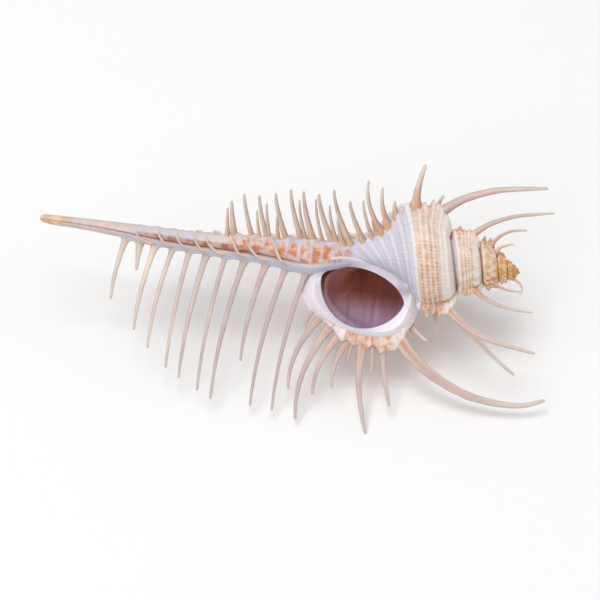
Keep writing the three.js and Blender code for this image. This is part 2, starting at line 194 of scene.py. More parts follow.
def outline_points(theta):
    """The outline's points at each angle of growth, as an array of angles x points x 2."""
    theta = np.atleast_1d(np.asarray(theta, float))[:, None]
    g, fl, st = growth(theta), flare(theta), stout(theta)
    own, lip = np.array(WHORL + BASE), np.array(LIP)
    early = (np.array(EARLY_WHORL + BASE) - own)[:, 1] * smoothstep(-theta, EARLY_FROM, EARLY_TO)
    distance = lerp(own[:, 0] * g, lip[:, 0], fl)
    radius = lerp((own[:, 1] + early) * g * st, lip[:, 1], fl)
    # Before the last turn the outline ends on the next whorl's first row, at the suture
    older = smoothstep(theta[:, 0], -335, -360)
    next_turn = theta[:, 0] + 360
    suture = own[0, 1] * growth(next_turn) * stout(next_turn)
    distance[:, SUTURE_ROW] = lerp(distance[:, SUTURE_ROW], own[0, 0] * growth(next_turn), older)
    radius[:, SUTURE_ROW] = lerp(radius[:, SUTURE_ROW], suture, older)
    return np.stack([distance, radius], -1)


def base_radius(distance, theta):
    """Below the last row the base narrows: radius 16.2 e^(-0.0915 (s - 47.2)), or the lip's own."""
    s = distance / growth(theta)
    own = BASE[0][1] * growth(theta) * np.exp(-BASE_FALL * (s - BASE[0][0]))
    return lerp(own, np.interp(distance, *np.transpose(LIP_BASE)), flare(theta))


print("outline at the lip", outline_points(0.0)[0].round(1).tolist())

# %% [markdown]
# ## The canal
# The siphonal canal is a tube that the snail rolls from the lip's end: its outer edge laps over
# the inner one and leaves a slit along the front. It is thickest at the body and bends a little.
# Where the base runs into it, the two radii are joined by a smooth maximum, so no crease shows.

# %% The canal's size
# Distance, radius and how far it bends away from the axis
CANAL = [(30, 0.6, -1.2), (44, 2.0, -1.2), (50, 3.4, -1.2), (56, 4.3, -1.5), (62, 3.75, -1.2),
         (70, 3.2, -0.55), (80, 2.8, -0.25), (90, 2.45, 0.15), (100, 2.15, 0.9), (110, 1.75, 1.7),
         (120, 1.35, 2.3), (126, 1.25, 2.55), (LENGTH, 1.12, 2.7)]
BASE_ENDS, CANAL_FROM = 52.0, 62.0  # between these the base fades, and then the canal is alone
TIP_ROUND = 1.5  # the length over which its end is rounded off
TIP_FROM = LENGTH - TIP_ROUND
SLIT_AT = (-33.0, -19.0)  # azimuth of the slit near the body and near the tip
FOLD_FROM, FOLD_HEIGHT, SLIT_DEPTH = -112.0, 0.42, 0.38
RIB_HEIGHT, RIB_STEP = 0.32, 4.6  # the oblique ribs on its back


def canal_curve(distance, column):
    """The canal's radius or bend at a distance, by a smooth curve through its list."""
    curve = smooth_curve(CANAL, np.linspace(0, len(CANAL) - 1, 400))
    return np.interp(distance, curve[:, 0], curve[:, column])


def canal_radius(distance):
    """The list's radius, rounded off as an ellipse over the last millimetres."""
    t = np.clip((distance - TIP_FROM) / TIP_ROUND, 0, 1)
    return canal_curve(distance, 1) * np.sqrt(1 - 0.9999 * t**2)


def canal_bend(distance):
    """How far the canal's middle lies off the axis."""
    return canal_curve(distance, 2)


def fading_base(distance, theta):
    """The base's radius, gone where the canal is alone."""
    return base_radius(distance, theta) * smoothstep(distance, CANAL_FROM, BASE_ENDS)


def smooth_max(a, b, soft=1.2):
    """The larger of two, rounded where they are alike."""
    return 0.5 * (a + b + np.sqrt((a - b) ** 2 + soft**2)) - 0.5 * soft * np.exp(-np.abs(a - b))


def slit_azimuth(distance):
    """Where the slit runs: it turns a little to the front near the tip."""
    return lerp(*SLIT_AT, smoothstep(distance, 95, 122))


print("canal radius at 60, 90, 120:", canal_radius(np.array([60.0, 90.0, 120.0])).round(2))

# %% [markdown]
# ## Spines: where they stand
# Every varix carries a row of spines. The long shoulder horn curves towards the apex, shorter
# spines stand on the body, and a comb of straight ones runs down the canal. Each is a few sizes:
# where its root is, how far the tip lies along the axis and out, and how thick it is.

# %% Sizes of the spines
def varix_at(k):
    """The angle of growth of a varix, counted back from the lip."""
    shift = np.take(VARIX_SHIFT, np.rint(k).astype(int))
    return shift - VARIX_OFFSET - VARIX_STEP * np.asarray(k, float)


# Root distance, tip distance and tip radius of each comb spine, from the canal's end to the body
LIP_COMB = [(106.3, 109.2, 17.4), (102.6, 103.0, 9.1), (98.2, 102.3, 25.1), (93.5, 98.2, 29.7),
            (89.1, 92.9, 34.5), (84.4, 89.2, 37.0), (79.4, 84.0, 39.9), (74.1, 80.2, 41.8),
            (68.2, 73.1, 30.9), (62.9, 69.5, 42.7), (57.5, 63.6, 43.4)]
TOP_COMB = [(77.5, 78.9, 16.4), (72.6, 75.7, 19.4), (68.6, 71.7, 19.4), (63.3, 67.4, 20.8),
            (59.3, 63.5, 22.6), (56.2, 60.1, 22.2), (51.0, 56.0, 21.8), (45.8, 52.1, 23.7),
            (42.5, 47.6, 20.2)]
TOP_SHORT = [(79.4, 79.9, 12.5), (70.6, 72.0, 12.5), (68.0, 69.6, 15.2), (58.0, 61.0, 17.2),
             (53.7, 56.7, 18.2), (49.8, 52.9, 16.4), (65.6, 66.6, 11.0), (47.9, 50.5, 13.0),
             (40.3, 44.1, 19.0)]
# The hidden comb is spread evenly and grows longer towards the body
BACK_SHARE = np.linspace(0, 1, 11)
BACK_ROOT = lerp(98.0, 47.0, 0.78 * BACK_SHARE + 0.22 * BACK_SHARE**2)
BACK_COMB = np.stack([BACK_ROOT, BACK_ROOT + lerp(3.0, 5.0, BACK_SHARE),
                      lerp(16.0, 36.0, 1 - (1 - BACK_SHARE) ** 2)], -1)

print("comb spines:", len(LIP_COMB), "+", len(TOP_COMB + TOP_SHORT), "+", len(BACK_COMB))

# %% [markdown]
# ## Relief of the wall
# Pale cords run round the whorls, always at the same rows of the outline, and fine thickened lines
# cross them where growth paused. Where the two meet a small bead stands up. The first whorls have
# round knobs instead. All of it is added along the outline's normal and shrinks with the whorl.

# %% Cords, growth lines and knobs
# Each cord's row (distance at the lip's size), height and half width
CORDS = [(29.0, 0.22, 0.5), (30.9, 0.42, 0.75), (32.9, 0.30, 0.6), (34.5, 0.16, 0.32),
         (36.0, 0.30, 0.45), (38.0, 0.26, 0.42), (40.3, 0.28, 0.45), (42.0, 0.16, 0.3),
         (43.7, 0.48, 0.6), (45.4, 0.2, 0.35), (47.2, 0.36, 0.5), (48.9, 0.16, 0.3),
         (50.6, 0.36, 0.5), (52.3, 0.16, 0.35), (54.0, 0.34, 0.5), (55.8, 0.16, 0.35),
         (57.6, 0.3, 0.5), (61.0, 0.26, 0.55), (64.6, 0.22, 0.6), (68.6, 0.18, 0.7)]
LINES_PER_TURN = 42
KNOBS_PER_TURN, KNOB_HEIGHT = 19, 3.6
KNOBS_FROM, KNOBS_TO = 480.0, 1000.0  # degrees before the lip between which they come in


def cord_height(row):
    """The sum of a bell curve for each cord."""
    return sum(height * bell(np.asarray(row, float), at, half) for at, height, half in CORDS)


def growth_lines(theta, row):
    """Narrow crests, 42 to a turn, that bend back a little towards the suture and the base."""
    phase = np.radians(LINES_PER_TURN * (theta + 0.35 * (row - 38) ** 2 / 38))
    phase = phase + 0.9 * np.sin(np.radians(theta * 5.3))
    phase = phase + 0.5 * np.sin(np.radians(theta * 13.7 + row * 9))
    return (0.5 + 0.5 * np.cos(phase)) ** 3


def knobs(theta, row):
    """Round bumps on the early whorls, in two rows that stand between one another."""
    swing = 0.5 * np.cos(np.radians(KNOBS_PER_TURN * theta + 40 * np.sin(np.radians(theta * 3.1))))
    upper = (0.5 + swing) ** 1.5 * bell(row, 33.0, 2.4)
    lower = (0.5 - swing) ** 1.5 * bell(row, 41.0, 2.4)
    return KNOB_HEIGHT * (upper + 0.85 * lower) * smoothstep(-theta, KNOBS_FROM, KNOBS_TO)


def relief(theta, row):
    """Height over the smooth outline at the lip's size: cords, beads, growth lines and knobs."""
    cords, lines = cord_height(row), growth_lines(theta, row)
    fade = smoothstep(row, 80, 64)
    return (cords * (0.85 + 0.3 * lines) + 0.09 * lines) * fade + knobs(theta, row)


print("highest cord in mm:", cord_height(np.linspace(28, 70, 400)).max().round(2))

# %% [markdown]
# ## Meshes from arrays
# A surface here is a grid of points. Its faces are worked out from the grid's numbers, and the
# mesh is filled in whole arrays with foreach_set, which stays fast with a hundred thousand faces.
# The extra values of each point, such as its angle of growth, go in as attributes for the
# materials.

# %% Helpers for meshes
PIECES = []
ROWS_PER_UV = 60  # the UV map has turns of growth across and rows up, this many to its height


def grid_faces(index):
    """Four corners for each cell of an array of point numbers."""
    a, b = index[:-1, :-1], index[:-1, 1:]
    c, d = index[1:, 1:], index[1:, :-1]
    return np.stack([a, b, c, d], -1).reshape(-1, 4)


def fan_faces(ring, centre):
    """A triangle from each two neighbours on a ring to the point in its middle."""
    return np.stack([ring[:-1], np.full(len(ring) - 1, centre), ring[1:]], -1)


def closed(index, axis):
    """The array with its first row or column repeated at the end, so that the grid closes."""
    return np.concatenate([index, np.take(index, [0], axis)], axis)


def with_last(last, *grids):
    """All values of the grids in one row, and then the one of the pole."""
    return np.concatenate([*map(np.ravel, grids), [last]])


def new_object(name, data):
    """An object that puts the data in the scene."""
    made = bpy.data.objects.new(name, data)
    bpy.context.scene.collection.objects.link(made)
    return made


def add_values(mesh, values):
    """Extra values of each point, as attributes of the mesh."""
    for key, value in values.items():
        spot = mesh.attributes.new(key, "FLOAT", "POINT")
        spot.data.foreach_set("value", np.ascontiguousarray(value, np.float32).ravel())


def make_piece(name, points, quads, triangles, values):
    """A mesh from points, four-sided and three-sided faces, and values at each point."""
    mesh = bpy.data.meshes.new(name)
    loops = np.concatenate([quads.ravel(), triangles.ravel()]).astype(np.int32)
    starts = np.concatenate([np.arange(len(quads)) * 4,
                             len(quads) * 4 + np.arange(len(triangles)) * 3])
    mesh.vertices.add(len(points))
    mesh.vertices.foreach_set("co", np.ascontiguousarray(points, np.float32).ravel())
    mesh.loops.add(len(loops))
    mesh.loops.foreach_set("vertex_index", loops)
    mesh.polygons.add(len(starts))
    mesh.polygons.foreach_set("loop_start", starts.astype(np.int32))
    mesh.polygons.foreach_set("use_smooth", np.ones(len(starts), bool))
    add_values(mesh, values)
    if "turns" in values:
        uv = np.stack([values["turns"], values["row"] / ROWS_PER_UV], -1)
        layer = mesh.uv_layers.new(name="UVMap")
        layer.uv.foreach_set("vector", uv[loops].astype(np.float32).ravel())
    mesh.update(calc_edges=True)
    mesh.validate()
    piece = new_object(name, mesh)
    PIECES.append(piece)
    print(name, "has", len(quads) * 2 + len(triangles), "triangles, its lowest point at",
          round(float(points[:, 2].min()) / MM, 2), "mm")
    return piece


def finish_piece(piece, material):
    """Gives the piece its material and ties it to the solid it stands for."""
    piece.data.materials.append(material)
    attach(piece, "root")
    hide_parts("shell")


print("a 3 x 4 grid of points has", len(grid_faces(np.arange(12).reshape(3, 4))), "faces")

# %% [markdown]
# ## The whorls and the canal in one surface
# The last two turns are one strip from suture to suture. Its lower edge uses the very points of
# the next turn's upper edge, so the coil is closed without a seam. In the last turn the strip goes
# on over the base and down the canal, where it closes round on itself.

# %% The wall of the last two whorls and the canal
TURN_COLUMNS = 300
STEP = 360 / TURN_COLUMNS
ROWS_PER_SPAN = 8
BASE_ROWS, CANAL_ROWS, TIP_ROWS = 80, 97, 13
WEB_HEIGHT, WEB_HALF = (0.75, 0.9, 1.25), (0.55, 0.7, 0.95)  # the webs that join a comb's roots


def strip(theta, rows):
    """Points of the whorl: the outline at each angle, raised along its normal by the relief."""
    control = outline_points(theta)
    curve, ahead, behind = (
        np.einsum("rc,tcx->xtr", smooth_weights(control.shape[1], rows + by), control)
        for by in (0, 0.02, -0.02))
    slope = (ahead - behind) / np.hypot(*(ahead - behind))
    around, row = np.meshgrid(theta, smooth_curve(ROW_AT, rows), indexing="ij")
    edge = smoothstep(rows, 0, 0.5) * (1 - smoothstep(rows, 7.4, 8.0) * (theta[:, None] < -360))
    height = relief(around, row) * growth(around) * edge
    return curve[0] - height * slope[1], curve[1] + height * slope[0], around, row


print("rows across a whorl:", SUTURE_ROW * ROWS_PER_SPAN)

# %% [markdown]
# ## The base and the canal
# Below the whorl the surface narrows into the canal. On the real shell the lip folds over the slit,
# thin webs join the roots of each comb and oblique ribs cross the back. Each is one term that is
# added to the radius, so they all flow into one another without a seam.

# %% The surface of the base and the canal
def comb_webs(distance, azimuth, radius):
    """Along each comb a thin ridge, highest at the spines' roots."""
    total = np.zeros_like(distance)
    for k, comb in enumerate((LIP_COMB, BACK_COMB, TOP_COMB)):
        roots = np.array(comb)[:, 0]
        off = np.radians(wrapped(azimuth - LIP_AZIMUTH - varix_at(k))) * radius
        reach = window(distance, roots.min() - 3, roots.min(), roots.max(), roots.max() + 2.5)
        peaks = 0.3 + 0.7 * bells(distance, roots, 1.5)
        total += WEB_HEIGHT[k] * peaks * reach * bell(off, 0, WEB_HALF[k])
    return total


def canal_relief(distance, azimuth, radius):
    """The lip's fold, the slit beside it, the webs of the combs and oblique ribs on the back."""
    a = wrapped(azimuth)
    slit = slit_azimuth(distance)
    fold = FOLD_HEIGHT * window(a, FOLD_FROM, FOLD_FROM + 30, slit - 5, slit - 1)
    groove = SLIT_DEPTH * bell(a, slit + 3, 5.0)
    on = window(distance, 52, 60, 126, 129) * np.minimum(1, radius / 2.2)
    ribs = (0.5 + 0.5 * np.cos(2 * np.pi * (distance / RIB_STEP + a / 150))) ** 2
    back = smoothstep(np.abs(wrapped(a - 130)), 100, 60) * window(distance, 50, 60, 96, 108)
    ribs = RIB_HEIGHT * ribs * back
    return on * (fold - groove) + ribs + comb_webs(distance, azimuth, radius)


def base_and_canal(theta):
    """Below the whorl: distance grows evenly to the canal and then to its end."""
    start = outline_points(theta)[:, SUTURE_ROW]
    first = start[:, :1]
    upper = lerp(first, CANAL_FROM, np.linspace(0, 1, BASE_ROWS + 1))
    quarter = np.linspace(0, np.pi / 2, TIP_ROWS + 1)[1:]
    lower = np.concatenate([np.linspace(CANAL_FROM, TIP_FROM, CANAL_ROWS + 1)[1:],
                            TIP_FROM + TIP_ROUND * np.sin(quarter)])
    distance = np.concatenate([upper, np.repeat(lower[None, :], len(theta), 0)], 1)
    around = np.repeat(theta[:, None], distance.shape[1], 1)
    plain, tube = fading_base(distance, around), canal_radius(distance)
    radius = lerp(plain, smooth_max(plain, tube), smoothstep(distance - first, 0.5, 4.0))
    radius[:, 0] = start[:, 1]
    radius[:, BASE_ROWS:] = tube[:, BASE_ROWS:]
    row = lerp(distance / growth(around), np.interp(distance, *np.transpose(LIP_BASE_ROW)),
               flare(around))
    azimuth = LIP_AZIMUTH + around
    radius += relief(around, row) * growth(around) * smoothstep(distance, 58, 50)
    radius += canal_relief(distance, azimuth, tube)
    bend = canal_bend(distance) * smoothstep(distance, first + 2, 60)
    a = np.radians(azimuth)
    return seen(distance, bend + radius * np.sin(a), radius * np.cos(a)), distance, around, row


print("rows down the base and the canal:", BASE_ROWS + CANAL_ROWS + TIP_ROWS)

# %% [markdown]
# ## The wall as one mesh
# Three grids of faces make the wall: the older turn, the newest one, and the base with the canal.
# They share the points where they meet, so the mesh has no gap there, and a fan closes the tip.

# %% The wall's mesh
two_turns = np.arange(-2 * TURN_COLUMNS, 1) * STEP
coil_d, coil_r, coil_theta, coil_row = strip(
    two_turns, np.arange(SUTURE_ROW * ROWS_PER_SPAN) / ROWS_PER_SPAN)
low_points, low_d, low_theta, low_row = base_and_canal(two_turns[TURN_COLUMNS:])

coil = np.arange(coil_d.size).reshape(coil_d.shape)
low = coil_d.size + np.arange(low_d.size).reshape(low_d.shape)
low[-1, BASE_ROWS:] = low[0, BASE_ROWS:]  # the canal closes round on itself
older = np.concatenate([coil[:TURN_COLUMNS + 1], coil[TURN_COLUMNS:, :1]], 1)
newer = np.concatenate([coil[TURN_COLUMNS:], low[:, :1]], 1)
wall_values = {
    "turns": with_last(0, coil_theta, low_theta) / 360,
    "row": with_last(low_row.max(), coil_row, low_row),
    "along": with_last(LENGTH, coil_d, low_d),
}
wall = make_piece(
    "wall",
    np.concatenate([place(coil_d, coil_r, LIP_AZIMUTH + coil_theta).reshape(-1, 3),
                    low_points.reshape(-1, 3), seen(LENGTH, canal_bend(LENGTH), 0.0)[None, :]]),
    np.concatenate([grid_faces(older), grid_faces(newer), grid_faces(low)])[:, ::-1],
    fan_faces(low[:, -1], coil_d.size + low_d.size)[:, ::-1], wall_values)

# %% [markdown]
# ## The spire
# The earlier whorls are the same strip with fewer points, closed at the apex by a small cap. Its
# last columns dip under the wall's first ones, so the two surfaces pass into each other.

# %% The early whorls up to the apex
SPIRE_FROM, SPIRE_TO, SPIRE_STEP, SPIRE_ROWS_PER_SPAN = -2412.0, -714.0, 2.0, 5
SPIRE_UNDER = 0.12  # how deep its last columns dip under the wall, in mm
CAP_AT = 0.35  # how far from the apex the middle of the cap lies
spire_d, spire_r, spire_theta, spire_row = strip(
    np.arange(SPIRE_FROM, SPIRE_TO + 1, SPIRE_STEP),
    np.arange(SUTURE_ROW * SPIRE_ROWS_PER_SPAN + 1) / SPIRE_ROWS_PER_SPAN)
spire_r -= SPIRE_UNDER * smoothstep(spire_theta, -722, -716)
per_turn = int(360 / SPIRE_STEP)
index = np.arange(spire_d.size).reshape(spire_d.shape)
index[:-per_turn, -1] = index[per_turn:, 0]  # the suture is shared with the next turn
spire_values = {
    "turns": with_last(SPIRE_FROM, spire_theta) / 360,
    "row": with_last(30.0, spire_row),
    "along": with_last(CAP_AT, spire_d),
}
spire = make_piece(
    "spire",
    np.concatenate([place(spire_d, spire_r, LIP_AZIMUTH + spire_theta).reshape(-1, 3),
                    place(CAP_AT, 0.0, 0.0)[None, :]]),
    grid_faces(index)[:, ::-1],
    np.concatenate([fan_faces(index[:per_turn + 1, 0], spire_d.size),
                    fan_faces(index[0], spire_d.size)[:, ::-1]]), spire_values)

# %% [markdown]
# ## Varices
# A varix is a rounded ridge across the whorl, steep on the side towards the lip. Each is a tube
# whose section is the ridge's own: a back foot, a slope, a crest and a nearly upright front with
# flutes. All of them are one array, because each is the same ridge, smaller and turned back by 115
# degrees.

# %% The ridges of the varices
VARICES, LONG_VARICES = 12, 3  # the long ones, of the last turn, run on over the base
RIDGE = [(0, 1.4), (1, 3.2), (2, 4.3), (3, 4.7), (4, 4.6), (5, 4.2), (6, 3.7), (7, 3.2), (8, 2.5),
         (9, 1.8), (10, 1.2), (11, 0.8), (12, 0.5)]  # row and height at the lip's size
# The section: degrees of growth from the crest, and share of the height
SECTION = [(-16, -0.25), (-13, 0.06), (-9.5, 0.34), (-6, 0.68), (-3, 0.93), (0, 1.0), (2, 0.93),
           (3.1, 0.72), (3.3, 0.4), (3.2, 0.1), (3.4, -0.3)]
HORN_RISE, HORN_ROW, HORN_HALF = 2.6, 33.6, 2.3  # and how much more, where the horn stands
BODY_ROOTS = (36.0, 38.6, 41.2, 43.4, 44.5, 46.8, 49.6, 52.0, 53.0)  # where its spines stand
RIDGE_ALONG, RIDGE_ACROSS = 150, 26
RIDGE_WORN = 0.2  # the oldest ridges are lower by this share
END_SUNK = 1.1  # its end by the canal dips this far below the surface, in mm
LIP_FOOT = -0.05  # the lip's own ridge reaches no deeper than this into the thin wall, in mm
LIP_EDGE = -1.2  # nor any nearer to the lip's edge, in degrees of growth


def profile_at(theta, q):
    """The smooth wall at a row q: 0 to 8 on the whorl, 8 to 12 over the base to the canal."""
    control = outline_points(np.ravel(theta))
    weights = smooth_weights(control.shape[1], np.minimum(np.ravel(q), 8))
    curve = np.einsum("nc,ncx->xn", weights, control).reshape((2,) + np.shape(theta))
    start_d, start_r = control[:, SUTURE_ROW].T.reshape((2,) + np.shape(theta))
    t = np.clip((q - 8) / 4, 0, 1)
    distance = lerp(start_d, 60.0, t)
    step = start_r - smooth_max(fading_base(start_d, theta), canal_radius(start_d))
    radius = smooth_max(fading_base(distance, theta), canal_radius(distance))
    row = lerp(distance / growth(theta), BASE[0][0] + 13 * t, flare(theta))
    base = (distance, radius + step * np.exp(-12 * t), row)
    whorl = (*curve, (weights @ ROW_AT).reshape(np.shape(q)))
    return [np.where(q > 8, below, above) for below, above in zip(base, whorl)]


print("rows of a ridge, from the suture to the canal:", [at for at, _ in RIDGE])

# %% [markdown]
# ## Tubes
# A ridge is a tube whose ends lie in the wall, and so is a spine. A tube is a row of rings with a
# point at each end, and a hundred of them fit in one array, so they are made in one go.

# %% Tubes as arrays
def tube_parts(rings, starts, ends, values):
    """Many tubes at once: rings[i, j, k] is point k of ring j of tube i. A pole closes each end."""
    n, count, sides = rings.shape[:3]
    index = closed(np.arange(n * count * sides).reshape(n, count, sides), 2)
    quads = np.stack([index[:, :-1, :-1], index[:, :-1, 1:],
                      index[:, 1:, 1:], index[:, 1:, :-1]], -1)
    poles = n * count * sides + np.arange(2 * n).reshape(2, n, 1)
    poles = np.broadcast_to(poles, (2, n, sides))
    fans = np.concatenate([np.stack([index[:, 0, 1:], index[:, 0, :-1], poles[0]], -1),
                           np.stack([index[:, -1, :-1], index[:, -1, 1:], poles[1]], -1)])
    points = np.concatenate([rings.reshape(-1, 3), starts, ends])
    values = {key: np.concatenate([v.ravel(), v[:, 0].mean(-1), v[:, -1].mean(-1)])
              for key, v in values.items()}
    return points, quads.reshape(-1, 4), fans.reshape(-1, 3), values


def turned_out(points, quads, fans):
    """Turns the faces round if the volume that they close comes out negative."""
    corners = np.concatenate([quads[:, [0, 1, 2]], quads[:, [0, 2, 3]], fans])
    a, b, c = (points[corners[:, i]] for i in range(3))
    outward = 1 if np.einsum("ij,ij->", a, np.cross(b, c)) > 0 else -1
    return quads[:, ::outward], fans[:, ::outward]


def joined(*parts):
    """Several sets of points, faces and values as one."""
    points, quads, fans, values, start = [], [], [], {}, 0
    for p, q, f, v in parts:
        q, f = turned_out(p, q, f)
        points.append(p)
        quads.append(q + start)
        fans.append(f + start)
        for key, value in v.items():
            values.setdefault(key, []).append(value)
        start += len(p)
    return (np.concatenate(points), np.concatenate(quads), np.concatenate(fans),
            {key: np.concatenate(v) for key, v in values.items()})


print("a tube of 3 rings of 8 has", len(grid_faces(np.zeros((3, 9), int))) * 2 + 16, "triangles")

# %% [markdown]
# ## The ridges on the wall
# The ridge follows the wall's outline and rises from it by its section. Its crest leans outwards,
# as the flared lip did that it once was, and it swells where the shoulder horn and spines stand.

# %% The varices' mesh
def ridges(ks, last_row):
    """The wall's outline at each angle, raised by the section's share of the ridge's height."""
    section = smooth_curve(SECTION, np.linspace(0, len(SECTION) - 1, RIDGE_ACROSS))
    q = np.linspace(0.15, last_row, RIDGE_ALONG)
    k, q, turn = np.meshgrid(np.array(ks, float), q, section[:, 0], indexing="ij")
    share = np.broadcast_to(section[:, 1], q.shape)
    crest = varix_at(k)
    distance, radius, row = profile_at(crest + turn, q)
    further = profile_at(crest + turn, q + 0.03)
    along, out = further[0] - distance, further[1] - radius
    length = np.hypot(along, out)
    lean_d, lean_r = -out / length, along / length + 1  # half way from the normal to straight out
    size = np.hypot(lean_d, lean_r)
    ends = window(q, 0.1, 0.9, last_row - 1.2, last_row)
    peak = np.interp(q, *np.transpose(RIDGE)) * (0.74 + 0.34 * bells(row, BODY_ROOTS, 0.9))
    peak = peak + 0.8 * cord_height(row) + HORN_RISE * bell(row, HORN_ROW, HORN_HALF)
    left = 1 - RIDGE_WORN * smoothstep(k, 2, 6)
    height = growth(crest) * (share * peak * left * ends - 0.25 * (1 - ends))
    height = np.where(k < 1, np.maximum(height, LIP_FOOT),
                      height - END_SUNK * (1 - ends) * smoothstep(q, 8, 10))
    flutes = 2.2 * (cord_height(row) - 0.2) + 0.5 * np.cos(row * 4.5)
    turn = turn + smoothstep(turn, 1.0, 3.0) * flutes * (share > 0.05)
    points = place(distance + height * lean_d / size, radius + height * lean_r / size,
                   LIP_AZIMUTH + np.minimum(crest + turn, LIP_EDGE))
    values = {"turns": (crest + turn) / 360, "row": row, "along": distance, "ridge": share * ends}
    return tube_parts(points[:, :, ::-1], points[:, 0].mean(1), points[:, -1].mean(1),
                      {key: v[:, :, ::-1] for key, v in values.items()})


varix_parts = joined(ridges(range(LONG_VARICES), 11.6), ridges(range(LONG_VARICES, VARICES), 7.9))
varices = make_piece("varices", *varix_parts)

# %% [markdown]
# ## The aperture
# The mouth of the shell is an egg with two pointed ends, one at the canal and one at the suture.
# Its rim stands up a little, a smooth callus spreads from it over the body, and inside it the wall
# runs back round the axis and out of sight. It is one surface: rings round the mouth, from the
# outer foot of the rim over its crest, across the callus, over the edge and into the hollow. The
# wall is thin there, so each ring is held inside it, or it would show as a flake on the outside.

# %% The rim, the callus and the hollow
APERTURE_AT, APERTURE_LEAN = (42.1, -9.2), 14.7
MOUTH = {"half": 11.6, "above": 5.6, "below": 10.1, "blunt": 1.22}
RIM = {"half": 13.3, "above": 7.6, "below": 10.4, "blunt": 0.62}
RIM_LIFT = 0.45
# The hollow's rings at the lip's size: angle of growth, the middle's distance and radius, the half
# widths, how much it leans with the mouth, and how flat its side by the axis is (1 is an ellipse)
HOLLOW = [(-13, 41.8, 11.6, 11.2, 7.8, 1.0, 0.95), (-28, 41.3, 11.6, 10.8, 7.5, 0.75, 0.85),
          (-48, 40.6, 11.5, 10.2, 7.2, 0.4, 0.7), (-75, 40.0, 11.5, 9.5, 6.8, 0.1, 0.6),
          (-105, 39.8, 11.5, 8.9, 6.4, 0.0, 0.55), (-135, 39.8, 11.5, 8.4, 6.1, 0.0, 0.55),
          (-165, 39.8, 11.5, 8.0, 5.8, 0.0, 0.55), (-190, 39.8, 11.5, 7.7, 5.6, 0.0, 0.55)]
THIN_WALL = 0.75  # and it keeps this far inside the wall, in mm
MOUTH_AROUND, RIM_ACROSS, HOLLOW_ACROSS = 256, 68, 42


def aperture_at(turn, half, above, below, blunt):
    """An ellipse with its own height above and below, its ends pointed by the power blunt."""
    rise = np.sin(turn)
    across = np.sign(rise) * np.abs(rise) ** blunt * np.where(rise > 0, above, below)
    along, lean = half * np.cos(turn), np.radians(APERTURE_LEAN)
    return (APERTURE_AT[0] + along * np.cos(lean) - across * np.sin(lean),
            APERTURE_AT[1] + along * np.sin(lean) + across * np.cos(lean))


def lip_depth(height):
    """The lip's edge lies in one half plane through the axis, so its depth goes with the height."""
    return height / np.tan(np.radians(LIP_AZIMUTH))


def wall_radius(distance, theta, start=None):
    """How far out the last whorl's wall lies at each distance, at one angle of growth."""
    outline = outline_points(theta)[0, :SUTURE_ROW + 1]
    start = outline[-1, 0] if start is None else start
    below = np.maximum(base_radius(np.maximum(distance, start), theta), canal_radius(distance))
    return np.where(distance < start, np.interp(distance, *outline.T), below)


def body_depth(distance, height):
    """How far the last whorl stands out towards the viewer, where it is nearer than the lip."""
    theta = np.arange(-360, -269, 1.0)
    radius = np.stack([wall_radius(distance, t, BASE[0][0] * growth(t)) for t in theta], 1)
    covers = radius * np.sin(np.radians(LIP_AZIMUTH + theta + 360)) >= height[:, None]
    here = radius[np.arange(len(distance)), covers.argmax(1)]
    depth = np.sqrt(np.maximum(here**2 - height**2, 0))
    return np.where(covers.any(1), np.maximum(lip_depth(height), depth), lip_depth(height))


def evened(values, reach):
    """The mean over neighbours on a closed ring."""
    share = np.hanning(2 * reach + 1)
    padded = np.concatenate([values[-reach:], values, values[:reach]])
    return np.convolve(padded, share / share.sum(), "valid")


print("the last whorl's radius beside the mouth:", wall_radius(np.array([40.0]), -15.0).round(2))

# %% [markdown]
# ## The rings of the mouth
# Each ring is the mouth's outline at its own size and depth. The outermost lie under the callus,
# the next ones are the rim, and the last ones run back inside the whorl, smaller with each step.

# %% The mouth's mesh
turn = np.arange(MOUTH_AROUND) / MOUTH_AROUND * 2 * np.pi
out_d, out_h = aperture_at(turn, **RIM)
in_d, in_h = aperture_at(turn, **MOUTH)
by_canal = bell(wrapped(np.degrees(turn) - 12), 0, 32)  # 1 at the mouth's end by the canal
crest = evened(body_depth(out_d, out_h), 9) + RIM_LIFT * (1 - 0.75 * by_canal)
edge = lip_depth(in_h) + RIM_LIFT / 2


def rim_ring(t, depth):
    """A ring at the share t of the way from the rim's crest to the mouth's edge."""
    return seen(lerp(out_d, in_d, t), lerp(out_h, in_h, t), depth)


def skirt_ring(by, depth):
    """A ring outside the rim: its outline, larger round the mouth's middle."""
    return seen(lerp(APERTURE_AT[0], out_d, by), lerp(APERTURE_AT[1], out_h, by), depth)


def inner_ring(t, depth, theta):
    """A ring just inside the mouth, drawn towards the axis where it would pass through the wall."""
    d, h = lerp(out_d, in_d, t), lerp(out_h, in_h, t)
    room = (wall_radius(d, theta) - THIN_WALL) / np.hypot(h, depth)
    shrink = evened(np.minimum(1, room), 5)
    return seen(d, h * shrink, depth * shrink)


def hollow_ring(theta, at_d, at_r, half_d, half_r, lean, flat):
    """A ring further in: an ellipse whose side by the axis is flat, in a half plane of the coil."""
    scale = growth(theta)
    side = np.sign(np.cos(turn)) * np.abs(np.cos(turn)) ** np.where(np.sin(turn) > 0, flat, 1.0)
    lower = half_d * side * lean * np.tan(np.radians(APERTURE_LEAN))
    distance = (at_d + half_d * side) * scale
    radius = (at_r - half_r * np.sin(turn) - lower) * scale
    radius = np.minimum(radius, wall_radius(distance, theta) - THIN_WALL)
    return place(distance, radius, LIP_AZIMUTH + theta)


